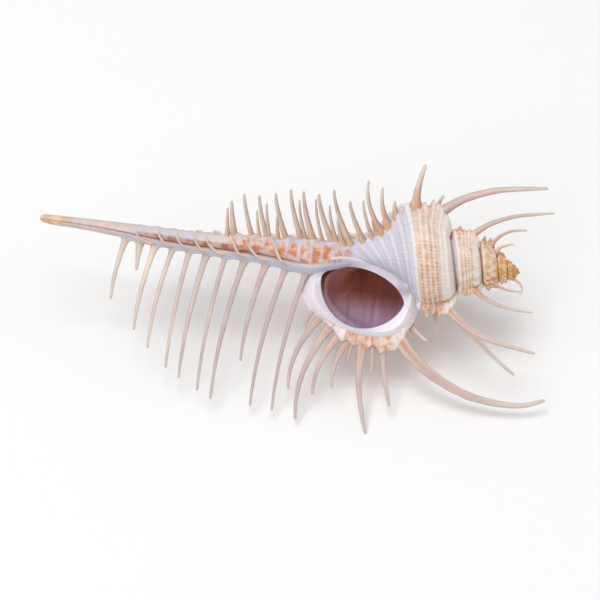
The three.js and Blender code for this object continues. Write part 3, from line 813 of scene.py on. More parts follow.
rings = [skirt_ring(1.19, crest - 2.6), skirt_ring(1.085, crest - 0.9), rim_ring(0.0, crest),
         rim_ring(0.16, lerp(crest, edge, 0.06) + 0.08), rim_ring(0.5, lerp(crest, edge, 0.42)),
         rim_ring(0.82, lerp(crest, edge, 0.82)), rim_ring(1.0, edge - 0.15),
         inner_ring(1.03, edge - 1.0, -4), inner_ring(1.0, edge - 2.6, -9)]
at = np.concatenate([np.linspace(0, 8, RIM_ACROSS),
                     np.linspace(8, len(rings + HOLLOW) - 1, HOLLOW_ACROSS + 1)[1:]])
rings = np.array(rings + [hollow_ring(*sizes) for sizes in HOLLOW])
mouth_grid = smooth_curve(rings, at)
index = closed(np.arange(mouth_grid.size // 3).reshape(-1, MOUTH_AROUND), 1)
mouth_points = np.concatenate([mouth_grid.reshape(-1, 3), mouth_grid[-1].mean(0)[None, :]])
from_axis = (mouth_points - place(0.0, 0.0, 0.0)) / MM
mouth_values = {
    "inside": with_last(at[-1], np.repeat(at, MOUTH_AROUND)),
    "rise": from_axis @ ((place(60.0, 1.0, 90.0) - place(60.0, 0.0, 0.0)) / MM),
    "along": from_axis @ ((place(61.0, 0.0, 0.0) - place(60.0, 0.0, 0.0)) / MM),
}
mouth = make_piece("aperture", mouth_points, grid_faces(index),
                   fan_faces(index[-1], mouth_grid.size // 3), mouth_values)

# %% [markdown]
# ## Spines
# A spine is a tapering tube along a smooth route. Its root spreads into the ridge that it stands
# on, its end is worn round, and its front, the side that faced the growing lip, has a groove that
# was open while it grew. All spines of a kind are worked out together as one array of rings.

# %% How a spine is made from its route
SPINE_RINGS, TIP_RINGS, SPINE_SIDES = 24, 4, 12
TIP_LENGTH = 3.6  # a spine's rounded end is this many times as long as it is thick
rng = np.random.default_rng(7)


def spine_set(routes, base, end, tone, stain, spread=1.5, swell=0.2, foot=1.5, groove=0.3,
              sides=SPINE_SIDES, count=SPINE_RINGS, sunk=0.0):
    """Rings across a smooth curve through each route's places, from base to end in thickness.

    The root is 1 + spread * e^(-reach / (foot * base)) times as wide, and swell says how much of
    that it has in depth; reach is the length from where the spine leaves its ridge, sunk mm in."""
    routes = np.asarray(routes, float)
    n, places = routes.shape[:2]
    base, end, tone, stain, spread, swell, sunk = (
        np.broadcast_to(np.asarray(v, float), (n,))[:, None]
        for v in (base, end, tone, stain, spread, swell, sunk))

    def on_route(t):
        """Distance, radius and azimuth at the shares t of each route."""
        weights = smooth_weights(places, (t * (places - 1)).ravel()).reshape(n, -1, places)
        return np.einsum("ntc,ncx->xnt", weights, routes)

    corners = place(*np.moveaxis(routes, 2, 0)) / MM
    length = np.linalg.norm(np.diff(corners, axis=1), axis=2).sum(1)[:, None]
    cap = np.clip(TIP_LENGTH * end / length, 0, 0.3)
    body = np.linspace(0, 1, count)[None, :] ** 1.25 * (1 - cap)
    bend = np.linspace(0, np.pi / 2, TIP_RINGS + 2)[None, 1:-1]
    t = np.concatenate([body, 1 - cap + cap * np.sin(bend)], 1)
    round_off = np.concatenate([np.ones((n, count)), np.repeat(np.cos(bend), n, 0)], 1)
    distance, radius, azimuth = on_route(t)
    centre = place(distance, radius, azimuth)
    step = unit(place(*on_route(t + 0.01)) - place(*on_route(t - 0.01)))
    front = place(distance, radius, azimuth + 0.5) - centre
    front = unit(front - step * (front * step).sum(-1, keepdims=True))
    side = np.cross(step, front)
    thick = lerp(base, end, t**1.1) * round_off
    reach = np.maximum(t * length - sunk, 0)
    root = np.exp(-reach / (foot * base))
    phi = np.arange(sides) / sides * 2 * np.pi
    open_front = (smoothstep(t, 0.9, 0.25) * round_off)[..., None]
    notch = 1 - groove * open_front * bell(wrapped(np.degrees(phi)), 0, 32)
    wide = (thick * (1 + spread * root))[..., None] * np.sin(phi)
    deep = (thick * (1 + swell * spread * root))[..., None] * np.cos(phi) * notch
    wobble = 1 + 0.03 * np.sin(t * length * 1.7 + rng.uniform(0, 6, (n, 1)))[..., None]
    rings = centre[:, :, None] + MM * wobble[..., None] * (
        wide[..., None] * side[:, :, None] + deep[..., None] * front[:, :, None])
    values = {"tip": t[..., None], "girth": np.cos(phi), "flank": np.sin(phi),
              "tone": tone[..., None], "stain": stain[..., None], "reach": reach[..., None]}
    values = {key: np.broadcast_to(value, rings.shape[:3]) for key, value in values.items()}
    return tube_parts(rings, centre[:, 0], place(*np.moveaxis(routes[:, -1], 1, 0)), values)


print("triangles of a plain spine:", 2 * SPINE_SIDES * (SPINE_RINGS + TIP_RINGS))

# %% [markdown]
# ## The routes of the spines
# On the shell each varix repeats the one before, larger, so each kind of spine is one list at the
# lip's size, scaled to its varix. Spines of older varices are worn or broken: a share says how
# much of each is left. A route is a few places from the root to the tip, and the curve comes from
# them.

# %% Routes of the combs
SPREAD_T = np.array([0, 0.12, 0.3, 0.5, 0.7, 0.88, 1.0])
SHIFT_T = 1 - (1 - SPREAD_T) ** 1.75  # how far along at each place: most of it near the root
COMB_SUNK = 0.6  # how deep a comb's spines start below the wall, in mm


def profile_radius(distance, k):
    """The wall's radius at a distance, where a varix crosses it."""
    q = np.linspace(0, 12, 200)
    d, r, _ = profile_at(np.full(200, float(varix_at(k))), q)
    return np.interp(distance, d, r)


def comb_routes(spines, k, turn):
    """Out from the canal, each shifted along in a gentle S and turned a little round the axis."""
    root, tip, far = np.transpose(np.array(spines, float))[:, :, None]
    azimuth = wrapped(LIP_AZIMUTH + varix_at(k))
    body_side = np.maximum(canal_radius(root), profile_radius(root, k))
    start = lerp(body_side, canal_radius(root), smoothstep(root, 54, 59.5)) - COMB_SUNK
    start = start + canal_bend(root) * np.sin(np.radians(azimuth)) * smoothstep(root, 44, 60)
    return np.stack(np.broadcast_arrays(lerp(root, tip, SHIFT_T), lerp(start, far, SPREAD_T),
                                        azimuth + turn * SPREAD_T), -1)


print("steps of a comb spine's route:", len(SPREAD_T))

# %% [markdown]
# ## Shoulder horns
# The longest spine of each varix is a horn at the shoulder that sweeps back over the spire. The two
# youngest curl at the tip, older ones still rise, so the list gives both radii.

# %% Routes of the shoulder horns
# Distance, radius where the tip curls back, radius where it still rises
SHOULDER_HORN = [(34.2, 17.0, 17.0), (32.6, 20.0, 19.6), (28.8, 24.8, 23.6), (22.0, 30.4, 28.4),
                 (11.1, 35.4, 32.8), (-1.4, 36.8, 35.0), (-9.3, 34.6, 36.0)]
CURLED_HORNS = 2  # the two youngest curl back
# Of each varix's horn: how far its tip turns round the axis, its radius times this, how much of
# its length is left, how many degrees behind the crest its root stands, its tip's shift to the
# canal
HORNS = [(-3, 1, 1, 2, 0), (18, 1.16, 0.7, 2, 0), (-6, 1.03, 1, -7, 2.5), (-4, 1.06, 1, 2, 0.5),
         (0, 1.05, 0.74, 2, 0), (8, 1.08, 1, -5, -3), (4, 1.1, 1, 2, 0), (0, 1.1, 0.72, 2, 0),
         (0, 1.15, 1, 2, 2), (0, 1.1, 1, 2, 2)]
LIP_HORN_FOOT = (32.9, 19.5)  # the lip's own horn starts here, in its ridge, clear of the hollow


def horn_routes():
    """The shoulder horn's list, scaled to each varix, its tip moved by that varix's own sizes."""
    turn, stretch, left, back, shift = np.transpose(HORNS)[:, :, None]
    k = np.arange(len(HORNS))[:, None]
    places = len(SHOULDER_HORN)
    t = np.linspace(0, 1, places) * left
    along, curled, rising = smooth_curve(SHOULDER_HORN, (t * (places - 1)).ravel()).T.reshape(
        3, len(HORNS), places)
    scale = growth(varix_at(k))
    distance = along * scale + shift * t**2
    radius = np.where(k < CURLED_HORNS, curled, rising) * scale * lerp(1, stretch, t)
    radius = radius * lerp(stout(varix_at(k)), 1, t)
    distance[0, 0], radius[0, 0] = LIP_HORN_FOOT
    azimuth = wrapped(LIP_AZIMUTH + varix_at(k)) + turn * t - back * (1 - t) ** 3
    return np.stack([distance, radius, azimuth], -1)


print("length of route left of each horn:", [row[2] for row in HORNS])

# %% [markdown]
# ## Spines of the body
# Below the horn a varix has a row of spines, long and short by turns. The list is the lip's own
# row; an older varix repeats it smaller, with more of each spine worn away.

# %% Routes of the body's spines
# Root distance, the tip's shift along, its length, its middle's bow and its thickness
BODY_SPINES = [(36.0, -3.4, 20.4, 1.3, 1.0), (38.6, -0.3, 11.3, 0.0, 0.6),
               (41.2, -2.7, 27.2, 2.0, 1.1), (43.4, 1.4, 8.6, 0.0, 0.5),
               (44.5, 4.1, 16.2, 0.6, 0.9), (46.8, 6.7, 19.2, 0.6, 1.0),
               (49.6, 8.0, 28.1, 1.2, 1.1), (52.0, 8.2, 22.5, 0.9, 1.0), (53.0, 4.0, 7.5, 0.4, 0.6)]
# How much of each is left, varix by varix; on older ones the next whorl covers all but four
BODY_LEFT = [(1, 1, 1, 1, 1, 1, 1, 1, 1), (0.9, 0.7, 0.9, 0.6, 0.9, 0.9, 0.85, 0.9, 0.8),
             (0.3, 0.35, 0.7, 0.3, 0.2, 0.35, 0.55, 0.9, 0.9), (0.2, 0.3, 0.25, 0.3),
             (0.5, 0.3, 0.4, 0.3), (0.2, 0.3, 0.2, 0.25), (0.3, 0.3, 0.2, 0.3),
             (0.3, 0.25, 0.3, 0.3), (0.45, 0.3, 0.3, 0.2), (0.3, 0.4, 0.3, 0.3)]
BODY_TURN = (-2, 7, 4, 3, 2, 2, 2, 2, 2, 2)  # how many degrees each varix's spines turn
BODY_BACK = 2.0  # their roots stand this many degrees behind the ridge's crest
# The lip's own spines start in its ridge, this far over the thin wall
ROOT_OUT_AT, ROOT_OUT = (36.0, 44.5, 46.8, 49.6, 52.0, 53.0), (2.1, 1.7, 1.4, 1.0, 0.7, 0.6)
STURDY = {(2, 41.2): 1.4, (0, 41.2): 1.1}  # thicker ones, by varix and root distance


def body_routes():
    """Each body spine of each varix: root on the wall, middle bowed, tip along and out."""
    rows = [(k, left, *spine) for k, lefts in enumerate(BODY_LEFT)
            for left, spine in zip(lefts, BODY_SPINES)]
    k, left, at, along, out, bow, thick = np.transpose(np.array(rows))[:, :, None]
    theta, whole_k = varix_at(k), k[:, 0].astype(int)
    scale, t = growth(theta), SPREAD_T
    root = np.array([profile_radius(d, n)[0] for d, n in zip(at * scale, whole_k)])[:, None]
    turn = np.array(BODY_TURN)[whole_k][:, None]
    d = at * scale + left * scale * (along * SHIFT_T + bow * np.sin(np.pi * t))
    foot = np.where(k < 1, np.interp(at, ROOT_OUT_AT, ROOT_OUT), -0.8) * scale
    r = root + foot + (out * left * scale - foot) * t
    a = wrapped(LIP_AZIMUTH + theta) + turn * (0.8 * t + 0.2 * t**2) - BODY_BACK * (1 - t) ** 3
    sturdy = np.array([STURDY.get((n, float(d)), 1.0) for n, d in zip(whole_k, at[:, 0])])
    width = np.sqrt(scale[:, 0]) * sturdy
    return np.stack([d, r, a], -1), width * thick[:, 0], width, whole_k


print("body spines:", sum(map(len, BODY_LEFT)))

# %% [markdown]
# ## Single spines and spinelets
# A few spines stand outside the rows. Thin spinelets, left from when the canal's edge was open, lie
# across it, one beside each root of the lip's comb.

# %% Routes of single spines and spinelets
# Single spines as places: the slender one beside the fourth horn, a spur behind the lip, small
# ones under the body, beside the third horn and near the apex
SINGLE = [[(20.5, 10.5, -80), (15.5, 15.8, -83), (10.0, 20.2, -86), (4.5, 24.8, -88),
           (-0.4, 28.3, -90)],
          [(29.6, 14.8, -92), (28.4, 17.6, -91), (27.0, 18.9, -90), (25.3, 20.2, -89),
           (23.5, 21.3, -88)],
          [(22.6, 11.6, -88), (22.3, 13.6, -88), (22.0, 15.2, -88), (21.6, 16.8, -88),
           (21.3, 18.2, -88)],
          [(25.0, 12.8, 70), (24.6, 14.6, 70), (24.1, 16.2, 70), (23.5, 17.8, 70),
           (22.8, 19.2, 70)],
          [(8.2, 3.6, 62), (6.6, 6.2, 64), (5.2, 7.0, 66), (3.9, 7.4, 68), (2.6, 7.5, 70)],
          [(3.4, 1.5, -80), (1.4, 2.2, -82), (-0.1, 3.4, -84), (-0.5, 4.9, -86), (0.2, 6.2, -88)]]
SINGLE_THICK = (0.8, 0.95, 0.6, 0.8, 0.42, 0.34)
HOOK_HEIGHT, HOOK_AHEAD, HOOK_THICK = (-0.3, 0.65, 0.8, 0.9, 1.4), (3.4, 6.2), (0.55, 0.2)


def hook_routes():
    """From lip comb roots a thin spinelet lies back over the canal's front, towards its end."""
    t = np.linspace(0, 1, 5)[None, :]
    root = np.array([spine[0] for spine in LIP_COMB[2:-1]])[:, None]
    distance = root + rng.uniform(*HOOK_AHEAD, root.shape) * t**0.7
    azimuth = lerp(-60, rng.uniform(-6, 50, root.shape), t**1.2)
    bend = canal_bend(distance) * np.sin(np.radians(azimuth))
    return np.stack([distance, canal_radius(distance) + bend + np.array(HOOK_HEIGHT), azimuth], -1)


print("single spines:", len(SINGLE), "and spinelets:", len(LIP_COMB[2:-1]))

# %% [markdown]
# ## All the spines
# Each call sets one kind: its thickness at the root and the tip, its tone from cream (0) to
# mauve-grey (1), and how strongly orange-brown stains its root. Two pieces hold them, the spines
# and the large shoulder horns, which are finer meshes because they are seen from near.

# %% The spines and the shoulder horns
LIP_TONES = (0.45, 0.6, 0.3, 0.4, 0.55, 0.75, 0.8, 0.85, 0.95, 1.0, 1.0)


def varied(thickness, spines):
    """A thickness for each spine, up to a sixth more or less."""
    return thickness * rng.uniform(0.84, 1.16, len(spines))


body, body_thick, body_scale, body_k = body_routes()
lip_side = (body_k == 0).astype(float)
spines = make_piece("spines", *joined(
    spine_set(comb_routes(LIP_COMB, 0, -3), varied(0.8, LIP_COMB), 0.32, LIP_TONES, 0.12,
              sunk=0.8),
    spine_set(comb_routes(TOP_COMB, 2, -16), varied(0.92, TOP_COMB), 0.28, 0.05, 0.6,
              spread=0.45, sunk=0.8),
    spine_set(comb_routes(BACK_COMB, 1, 15), 0.9, 0.34, 0.35, 0.6, spread=0.6, sunk=0.8),
    spine_set(comb_routes(TOP_SHORT, 2, -10), varied(0.66, TOP_SHORT), 0.22, 0.1, 0.6,
              spread=0.45, sunk=0.8),
    spine_set(body, body_thick * 0.95, 0.34 * body_scale, 0.15 + 0.6 * lip_side,
              0.9 - 0.5 * lip_side, spread=0.85, swell=0.4, sunk=2.4 * body_scale),
    spine_set(SINGLE, SINGLE_THICK, 0.45 * np.array(SINGLE_THICK), 0.2, 0.6, spread=0.8,
              sunk=1.2),
    spine_set(hook_routes(), *HOOK_THICK, 0.05, 0.25, spread=0.6, groove=0.0, sides=8, count=16)))
horn_scale = growth(varix_at(np.arange(len(HORNS))))
lip_horn = np.arange(len(HORNS)) < 1  # its root must stay clear of the thin lip
horns = make_piece("shoulder_horns", *joined(
    spine_set(horn_routes(), 2.25 * horn_scale, 0.42 * np.sqrt(horn_scale), 0.42, 1.0,
              spread=np.where(lip_horn, 0.6, 0.95), swell=np.where(lip_horn, 0.2, 0.5), foot=1.7,
              groove=0.38, sides=24, count=56, sunk=np.where(lip_horn, 2.0, 5.0 * horn_scale))))

# %% [markdown]
# ## What each place of the wall looks like
# The colour of a shell is laid down at its lip while it grows, so it follows the growth: cords
# stay pale, brown dashes sit on and between them in rows, and the last whorl turns lavender towards
# its base, most on the side that the aperture faces. One share is painted shade, not colour: it
# darkens the slit and the suture groove. Here each point gets these shares, from 0 to 1, out of its
# angle of growth and its row. The materials then only have to mix their colours by them and break
# them up with noise.

# %% Shares for the colours
DASH_ROWS = (35.1, 36.9, 39.2, 41.4)  # rows with brown dashes
HIDDEN_ROWS = (33.4, 37.6, 41.4, 45.8, 50.2)  # and more of them on the side away from the viewer
# Orange blocks along the canal, and brown ones beside its slit
PATCHES = (46.6, 49.6, 52.4, 55.2, 58.4, 61.7, 64.8, 68.2, 71.3, 74.6, 78.0)
SLIT_PATCHES = (74.7, 79.8, 84.7, 88.9, 94.0, 97.8, 102.0)
BACK_PATCHES = np.arange(50, 100, RIB_STEP)  # and those on the canal's back


def wall_shares(values):
    """The shares of cord, growth line, dash, blue, gold, orange patch, painted shade in slit and
    suture, brown beside the slit, warm ground between the dashes, pale shoulder, height on a varix."""
    turns, row, along = (values[key] for key in ("turns", "row", "along"))
    a = wrapped(LIP_AZIMUTH + 360 * turns)
    canal = smoothstep(along, 50, 56) * smoothstep(row, 50, 58)
    whorl, last = 1 - canal, smoothstep(turns, -1.06, -0.98)
    front = window(a, -95, -60, 95, 150)
    lower = 1 - 0.8 * window(a, -2, 45, 110, 150)
    knob = np.clip(knobs(turns * 360, row) / KNOB_HEIGHT, 0, 1) * smoothstep(-turns, 1.5, 2.2)
    dash = np.maximum(bells(row, DASH_ROWS, 0.72) * lerp(1, lower, last), knob)
    hidden = bells(row, HIDDEN_ROWS, 1.3) * (1 - front) * last
    blue = np.maximum(smoothstep(row, 40.4, 46.5) * last * lerp(0.35, 1, front) * whorl,
                      0.6 * smoothstep(row, 41.5, 45) * (1 - last) * smoothstep(-turns, 2.8, 2.0))
    off_slit = a - slit_azimuth(along)
    fold = smoothstep(a, FOLD_FROM - 10, FOLD_FROM + 15) * smoothstep(off_slit, 0, -9)
    fold = fold * lerp(1, 0.7, smoothstep(along, 74, 90))
    bare = 1 - 0.4 * smoothstep(along, 98, 112)
    slim = smoothstep(along, 76, 82)  # further out the brown keeps close to the slit
    above = window(off_slit, 2, 12, lerp(62, 16, slim), lerp(100, 42, slim))
    rear = smoothstep(np.abs(wrapped(a - 150)), 95, 60) * smoothstep(along, 46, 54)
    thick = smoothstep(along, 106, 98)
    past_body = smoothstep(along, 43, 49) * smoothstep(row, 56, 62)
    block = smoothstep(bells(along, PATCHES, 1.5), 0.25, 0.75)
    slit = bell(off_slit, 2, 5.5) * smoothstep(along, 56, 62) * canal
    beside = window(off_slit, -2, 3, 32, 50) * canal * thick
    blots = smoothstep(bells(along, SLIT_PATCHES, 1.7), 0.2, 0.8)
    shares = {
        "cord": np.clip(cord_height(row) / 0.36, 0, 1) * whorl,
        "line": growth_lines(turns * 360, row) * whorl,
        "dash": (dash + 0.75 * hidden) * whorl,
        "blue": blue + canal * bare * np.maximum(fold, 0.55 * front),
        "gold": smoothstep(-turns, 2.3, 3.15) + 0.45 * canal * smoothstep(along, 117, 129),
        "patch": (past_body * above * (1 - slim) * block
                  + 0.8 * canal * thick * rear * bells(along, BACK_PATCHES, 1.3)),
        # Painted shade: the slit and the suture groove are darkened in colour.
        "painted_shade": (slit * lerp(1, 0.45, smoothstep(along, 98, 122))
                 + 0.45 * bell(row, 28.2, 0.55) * whorl * lerp(0.45, 1, last)),
        "brown": beside * np.maximum(blots, 0.5 * smoothstep(along, 60, 68)),
        "warm": window(row, 33.6, 35.2, 42.0, 44.5) * last * lower * whorl,
        "pale": bell(row, 30.9, 1.6) * whorl * lerp(0.35, 1, last),
    }
    shares = {key: np.clip(value, 0, 1) for key, value in shares.items()}
    return {**shares, "high": values.get("ridge", np.zeros(len(row)))}


for piece, values in ((wall, wall_values), (spire, spire_values), (varices, varix_parts[-1])):
    add_values(piece.data, wall_shares(values))
print("orange patches along the canal:", len(PATCHES))

# %% [markdown]
# ## Nodes for the colours
# A few small functions add nodes and link them, so that a material reads as a list of steps. Each
# finds the tree it works in from the outputs that it is given. Colours are written as they would
# be picked on a screen, from 0 to 255, and turned into linear light.

# %% Helpers for materials
def linear(colour):
    """A colour picked on a screen as linear light, which is what the nodes work with."""
    share = np.array(colour) / 255
    light = np.where(share < 0.04045, share / 12.92, ((share + 0.055) / 1.055) ** 2.4)
    return (*light.tolist(), 1.0)


def add_node(kind, inputs, tree=None, **settings):
    """A new node with its settings, and each input set to a value or linked to an output."""
    outputs = {key: value for key, value in inputs.items()
               if isinstance(value, bpy.types.NodeSocket)}
    tree = tree or next(iter(outputs.values())).id_data
    made = tree.nodes.new("ShaderNode" + kind)
    for key, value in settings.items():
        setattr(made, key, value)
    for key, value in inputs.items():
        if key in outputs:
            tree.links.new(value, made.inputs[key])
        else:
            made.inputs[key].default_value = value
    return made.outputs


def read(tree, *names):
    """The values that each point of the mesh carries under these names."""
    return [add_node("Attribute", {}, tree, attribute_name=name)["Fac"] for name in names]


def work(operation, a, b=0.0, clamp=False):
    """One step of arithmetic."""
    return add_node("Math", {0: a, 1: b}, operation=operation, use_clamp=clamp)[0]


def plus(a, b, clamp=False):
    """The sum of two."""
    return work("ADD", a, b, clamp)


def times(first, *others):
    """The product of all."""
    for other in others:
        first = work("MULTIPLY", first, other)
    return first


def steps(value, low, high, to_low=0.0, to_high=1.0):
    """Smoothly from one value to another while the input goes from low to high."""
    return add_node("MapRange", {"Value": value, "From Min": low, "From Max": high,
                                 "To Min": to_low, "To Max": to_high},
                    interpolation_type="SMOOTHSTEP")["Result"]


def blend(share, below, above):
    """The colour below, covered by the colour above in the given share."""
    below, above = (linear(c) if isinstance(c, tuple) else c for c in (below, above))
    return add_node("Mix", {0: share, 6: below, 7: above}, data_type="RGBA")[2]


def layered(tint, *layers):
    """A first colour, covered by each layer's colour in that layer's share."""
    for share, above in layers:
        tint = blend(share, tint, above)
    return tint


def cloud(vector, scale, detail=3.0, roughness=0.55):
    """Noise from 0 to 1 at a scale."""
    return add_node("TexNoise", {"Vector": vector, "Scale": scale, "Detail": detail,
                                 "Roughness": roughness})["Fac"]


print("a cream colour in linear light:", [round(v, 3) for v in linear((224, 208, 196))])

# %% [markdown]
# ## Groups and materials
# A node group is worth making when more than one material uses it. Values that are the same all
# over a surface, such as its roughness, are set on the shader itself.

# %% Helpers for groups and materials
def new_group(name, inputs, outputs):
    """A node group of plain values, and the nodes that stand for its sockets inside."""
    tree = bpy.data.node_groups.new(name, "ShaderNodeTree")
    for way, keys in (("INPUT", inputs), ("OUTPUT", outputs)):
        for key in keys:
            tree.interface.new_socket(key, in_out=way, socket_type="NodeSocketFloat")
    return tree, tree.nodes.new("NodeGroupInput").outputs, tree.nodes.new("NodeGroupOutput").inputs


def new_material(name, constants):
    """A material whose Principled shader has these constants on its own sockets."""
    made = bpy.data.materials.new(name)
    made.use_nodes = True
    for key, value in constants.items():
        made.node_tree.nodes["Principled BSDF"].inputs[key].default_value = value
    return made, made.node_tree


def put_on(paint, tint, factor, height, strength, depth):
    """Links the colour, lightened or darkened by a factor, and a bump to the shader."""
    tree = paint.node_tree
    shader = tree.nodes["Principled BSDF"].inputs
    tint = add_node("VectorMath", {0: tint, "Scale": factor}, operation="SCALE")[0]
    bump = add_node("Bump", {"Strength": strength, "Distance": depth, "Height": height})[0]
    tree.links.new(tint, shader["Base Color"])
    tree.links.new(bump, shader["Normal"])
    print(paint.name, "has", len(tree.nodes), "nodes")


print("a group's sockets hold plain values, its nodes one effect")

# %% [markdown]
# ## Effects that all the materials share
# No part of a shell is evenly coloured. "mottle" gives soft clouds of two sizes and a fine grain
# from the place in the object. "fine_growth" gives the hairlines of growth, much finer than the
# mesh: noise that is stretched along the lip's edge, so it is short across the lines and long
# along them.

# %% Groups: mottle and fine growth lines
mottle, _, outward = new_group("mottle", [], ["Clouds", "Spots", "Grain"])
object_place = add_node("TexCoord", {}, mottle)["Object"]
for key, scale, detail in (("Clouds", 110.0, 3.0), ("Spots", 520.0, 3.0), ("Grain", 2600.0, 2.0)):
    mottle.links.new(cloud(object_place, scale, detail), outward[key])

fine_growth, inward, outward = new_group("fine_growth", ["Turns", "Row"], ["Lines", "Threads"])
for key, across, up, roughness in (("Lines", 150.0, 0.22, 0.6), ("Threads", 9.0, 2.6, 0.5)):
    stretched = add_node("CombineXYZ", {"X": times(inward["Turns"], across),
                                        "Y": times(inward["Row"], up)})[0]
    fine_growth.links.new(cloud(stretched, 1.0, 2.0, roughness), outward[key])
print("groups:", mottle.name, "and", fine_growth.name)

# %% [markdown]
# ## The wall's material
# The layers are put on in the order of growth: cream, a darker pinkish tone between the cords that
# is painted shade in the grooves, lavender, a warm ground, the golden early whorls, pale cords and
# shoulder, then the dashes and patches, each broken up by the shared noise, and last painted shade
# that darkens the slit and the suture groove. A thin coat gives the satin shine of clean shell.

# %% The wall's material
DASHES_PER_TURN = 78
wall_paint, tree = new_material("shell_wall", {"Roughness": 0.46, "Coat Weight": 0.12,
                                               "Coat Roughness": 0.3, "Specular IOR Level": 0.4})
clouds, spots, grain = add_node("Group", {}, tree, node_tree=mottle)
turns, row, cord, dash, high = read(tree, "turns", "row", "cord", "dash", "high")
blue, warm, gold, pale, patch, brown, painted_shade = read(
    tree, "blue", "warm", "gold", "pale", "patch", "brown", "painted_shade")
lines, threads = add_node("Group", {"Turns": turns, "Row": row}, node_tree=fine_growth)
# 1 between the cords, where a darker pinkish tone is painted shade in the grooves
groove = work("SUBTRACT", 1.0, cord, clamp=True)
lavender_share = steps(plus(blue, steps(clouds, 0.3, 0.7, -0.15, 0.15), clamp=True), 0.08, 0.95)
lit = times(work("MAXIMUM", cord, pale), work("SUBTRACT", 0.9, times(gold, 0.5)))
pulse = work("SINE", plus(times(turns, 2 * np.pi * DASHES_PER_TURN), times(spots, 7.0)))
broken = plus(steps(pulse, -0.7, 0.6, 0.0, 0.75), steps(spots, 0.36, 0.64, -0.5, 0.5), clamp=True)
dashes = times(dash, broken, steps(threads, 0.34, 0.52, 0.35, 1.0), 0.95)
tint = layered(
    blend(steps(clouds, 0.35, 0.68), (236, 220, 202), (223, 203, 193)),
    # painted shade: a darker pinkish tone between the cords
    (times(groove, steps(spots, 0.3, 0.7, 0.15, 0.62)), (208, 174, 154)),
    (times(lavender_share, 0.92), (204, 204, 223)),
    (times(warm, steps(spots, 0.3, 0.6, 0.35, 0.8)), (226, 184, 156)),
    (times(gold, steps(spots, 0.2, 0.6, 0.55, 1.0)),
     blend(steps(spots, 0.35, 0.6), (236, 190, 118), (208, 142, 60))),
    (lit, (240, 233, 232)),
    (dashes, blend(steps(turns, -1.9, -0.9), (206, 138, 66), (206, 130, 84))),
    (times(patch, steps(spots, 0.28, 0.62, 0.25, 1.0), 0.95),
     blend(steps(spots, 0.4, 0.6), (230, 166, 116), (200, 120, 72))),
    (times(brown, steps(spots, 0.3, 0.55, 0.5, 0.98)), (168, 98, 68)),
    # painted shade in the slit and the suture groove
    (times(painted_shade, 0.65), (146, 98, 78)),
    (times(high, steps(spots, 0.45, 0.7, 0.0, 0.4)), (212, 158, 112)))
factor = times(steps(lines, 0.3, 0.7, 0.93, 1.04), steps(grain, 0.25, 0.75, 0.96, 1.03))
height = plus(plus(lines, times(threads, 0.8)), times(grain, 0.3))
put_on(wall_paint, tint, factor, height, strength=0.45, depth=0.00016)

# %% [markdown]
# ## The aperture's material
# The rim and the callus are smooth, glazed and nearly white with a breath of lavender. Inside, the
# wall is brown-red beside the axis and mauve towards the lip, partly its own colour and partly
# painted shade, since the upper part of the hollow lies in shade. Near the mouth, where the light
# is strong, these colours are painted darker, and deeper in they are painted lighter to make up for
# the hollow's shade. Faint streaks run with the growth. The values "rise" and "along" are each
# point's height over the axis and distance along it, so both the change of colour and the streaks
# pass over every part of the hollow without a seam.

# %% The aperture's material
mouth_paint, tree = new_material("aperture_glaze", {"Roughness": 0.3, "Coat Weight": 0.35,
                                                    "Coat Roughness": 0.12})
clouds, _, grain = add_node("Group", {}, tree, node_tree=mottle)
inside, rise, along = read(tree, "inside", "rise", "along")
streaks = cloud(add_node("CombineXYZ", {"X": times(along, 0.62), "Y": times(rise, 0.05)})[0],
                1.0, 2.0)
# Partly painted shade: the brown-red towards the axis stands partly for the shade of the hollow's
# upper part. These are the colours near the mouth, painted darker where the light is strong.
near = blend(steps(rise, -17.0, -7.5), (174, 150, 178), (138, 80, 68))
# Painted light: deeper in, the same colours are lighter, to make up for the shade of the hollow.
deep = blend(steps(rise, -16.0, -8.0), (200, 170, 196), (188, 112, 94))
# from the darker painted colours at the mouth to the lighter painted ones deeper in
deep = blend(steps(inside, 8.5, 11.5), near, deep)
deep = blend(steps(streaks, 0.42, 0.62, 0.0, 0.4), deep, (150, 96, 98))
tint = layered(
    blend(steps(inside, 2.2, 4.6), (232, 227, 233), (208, 200, 216)),
    (steps(clouds, 0.4, 0.7, 0.0, 0.35), (222, 205, 208)),
    (steps(inside, 5.95, 6.4), deep))
put_on(mouth_paint, tint, steps(grain, 0.25, 0.75, 0.98, 1.02), clouds,
       strength=0.2, depth=0.0002)

# %% [markdown]
# ## The spines' material
# Each spine carries its own tone, from cream to mauve-grey, and both its edges are darker with
# painted shade. Orange-brown stain lies at its root and in its groove, where it grew last, and one
# side, towards its back, carries stain darkened further with painted shade. The worn tip is greyer.
# Streaks run along it: noise that is read from the side of the spine and only slowly along its
# length. "girth" is 1 at its front and -1 at its back, and "flank" the same for its two sides.

# %% The spines' material
spine_paint, tree = new_material("spine", {"Roughness": 0.5, "Coat Weight": 0.1,
                                           "Coat Roughness": 0.3, "Specular IOR Level": 0.4})
clouds, spots, grain = add_node("Group", {}, tree, node_tree=mottle)
tip, girth, flank, tone, stain, reach = read(
    tree, "tip", "girth", "flank", "tone", "stain", "reach")
streaks = cloud(add_node("CombineXYZ", {"X": times(girth, 2.2), "Y": times(flank, 2.2),
                                        "Z": times(reach, 0.22)})[0], 1.3, 3.0)
root = times(stain, steps(reach, 0.3, 7.5, 0.9, 0.0), steps(spots, 0.3, 0.65, 0.45, 1.0))
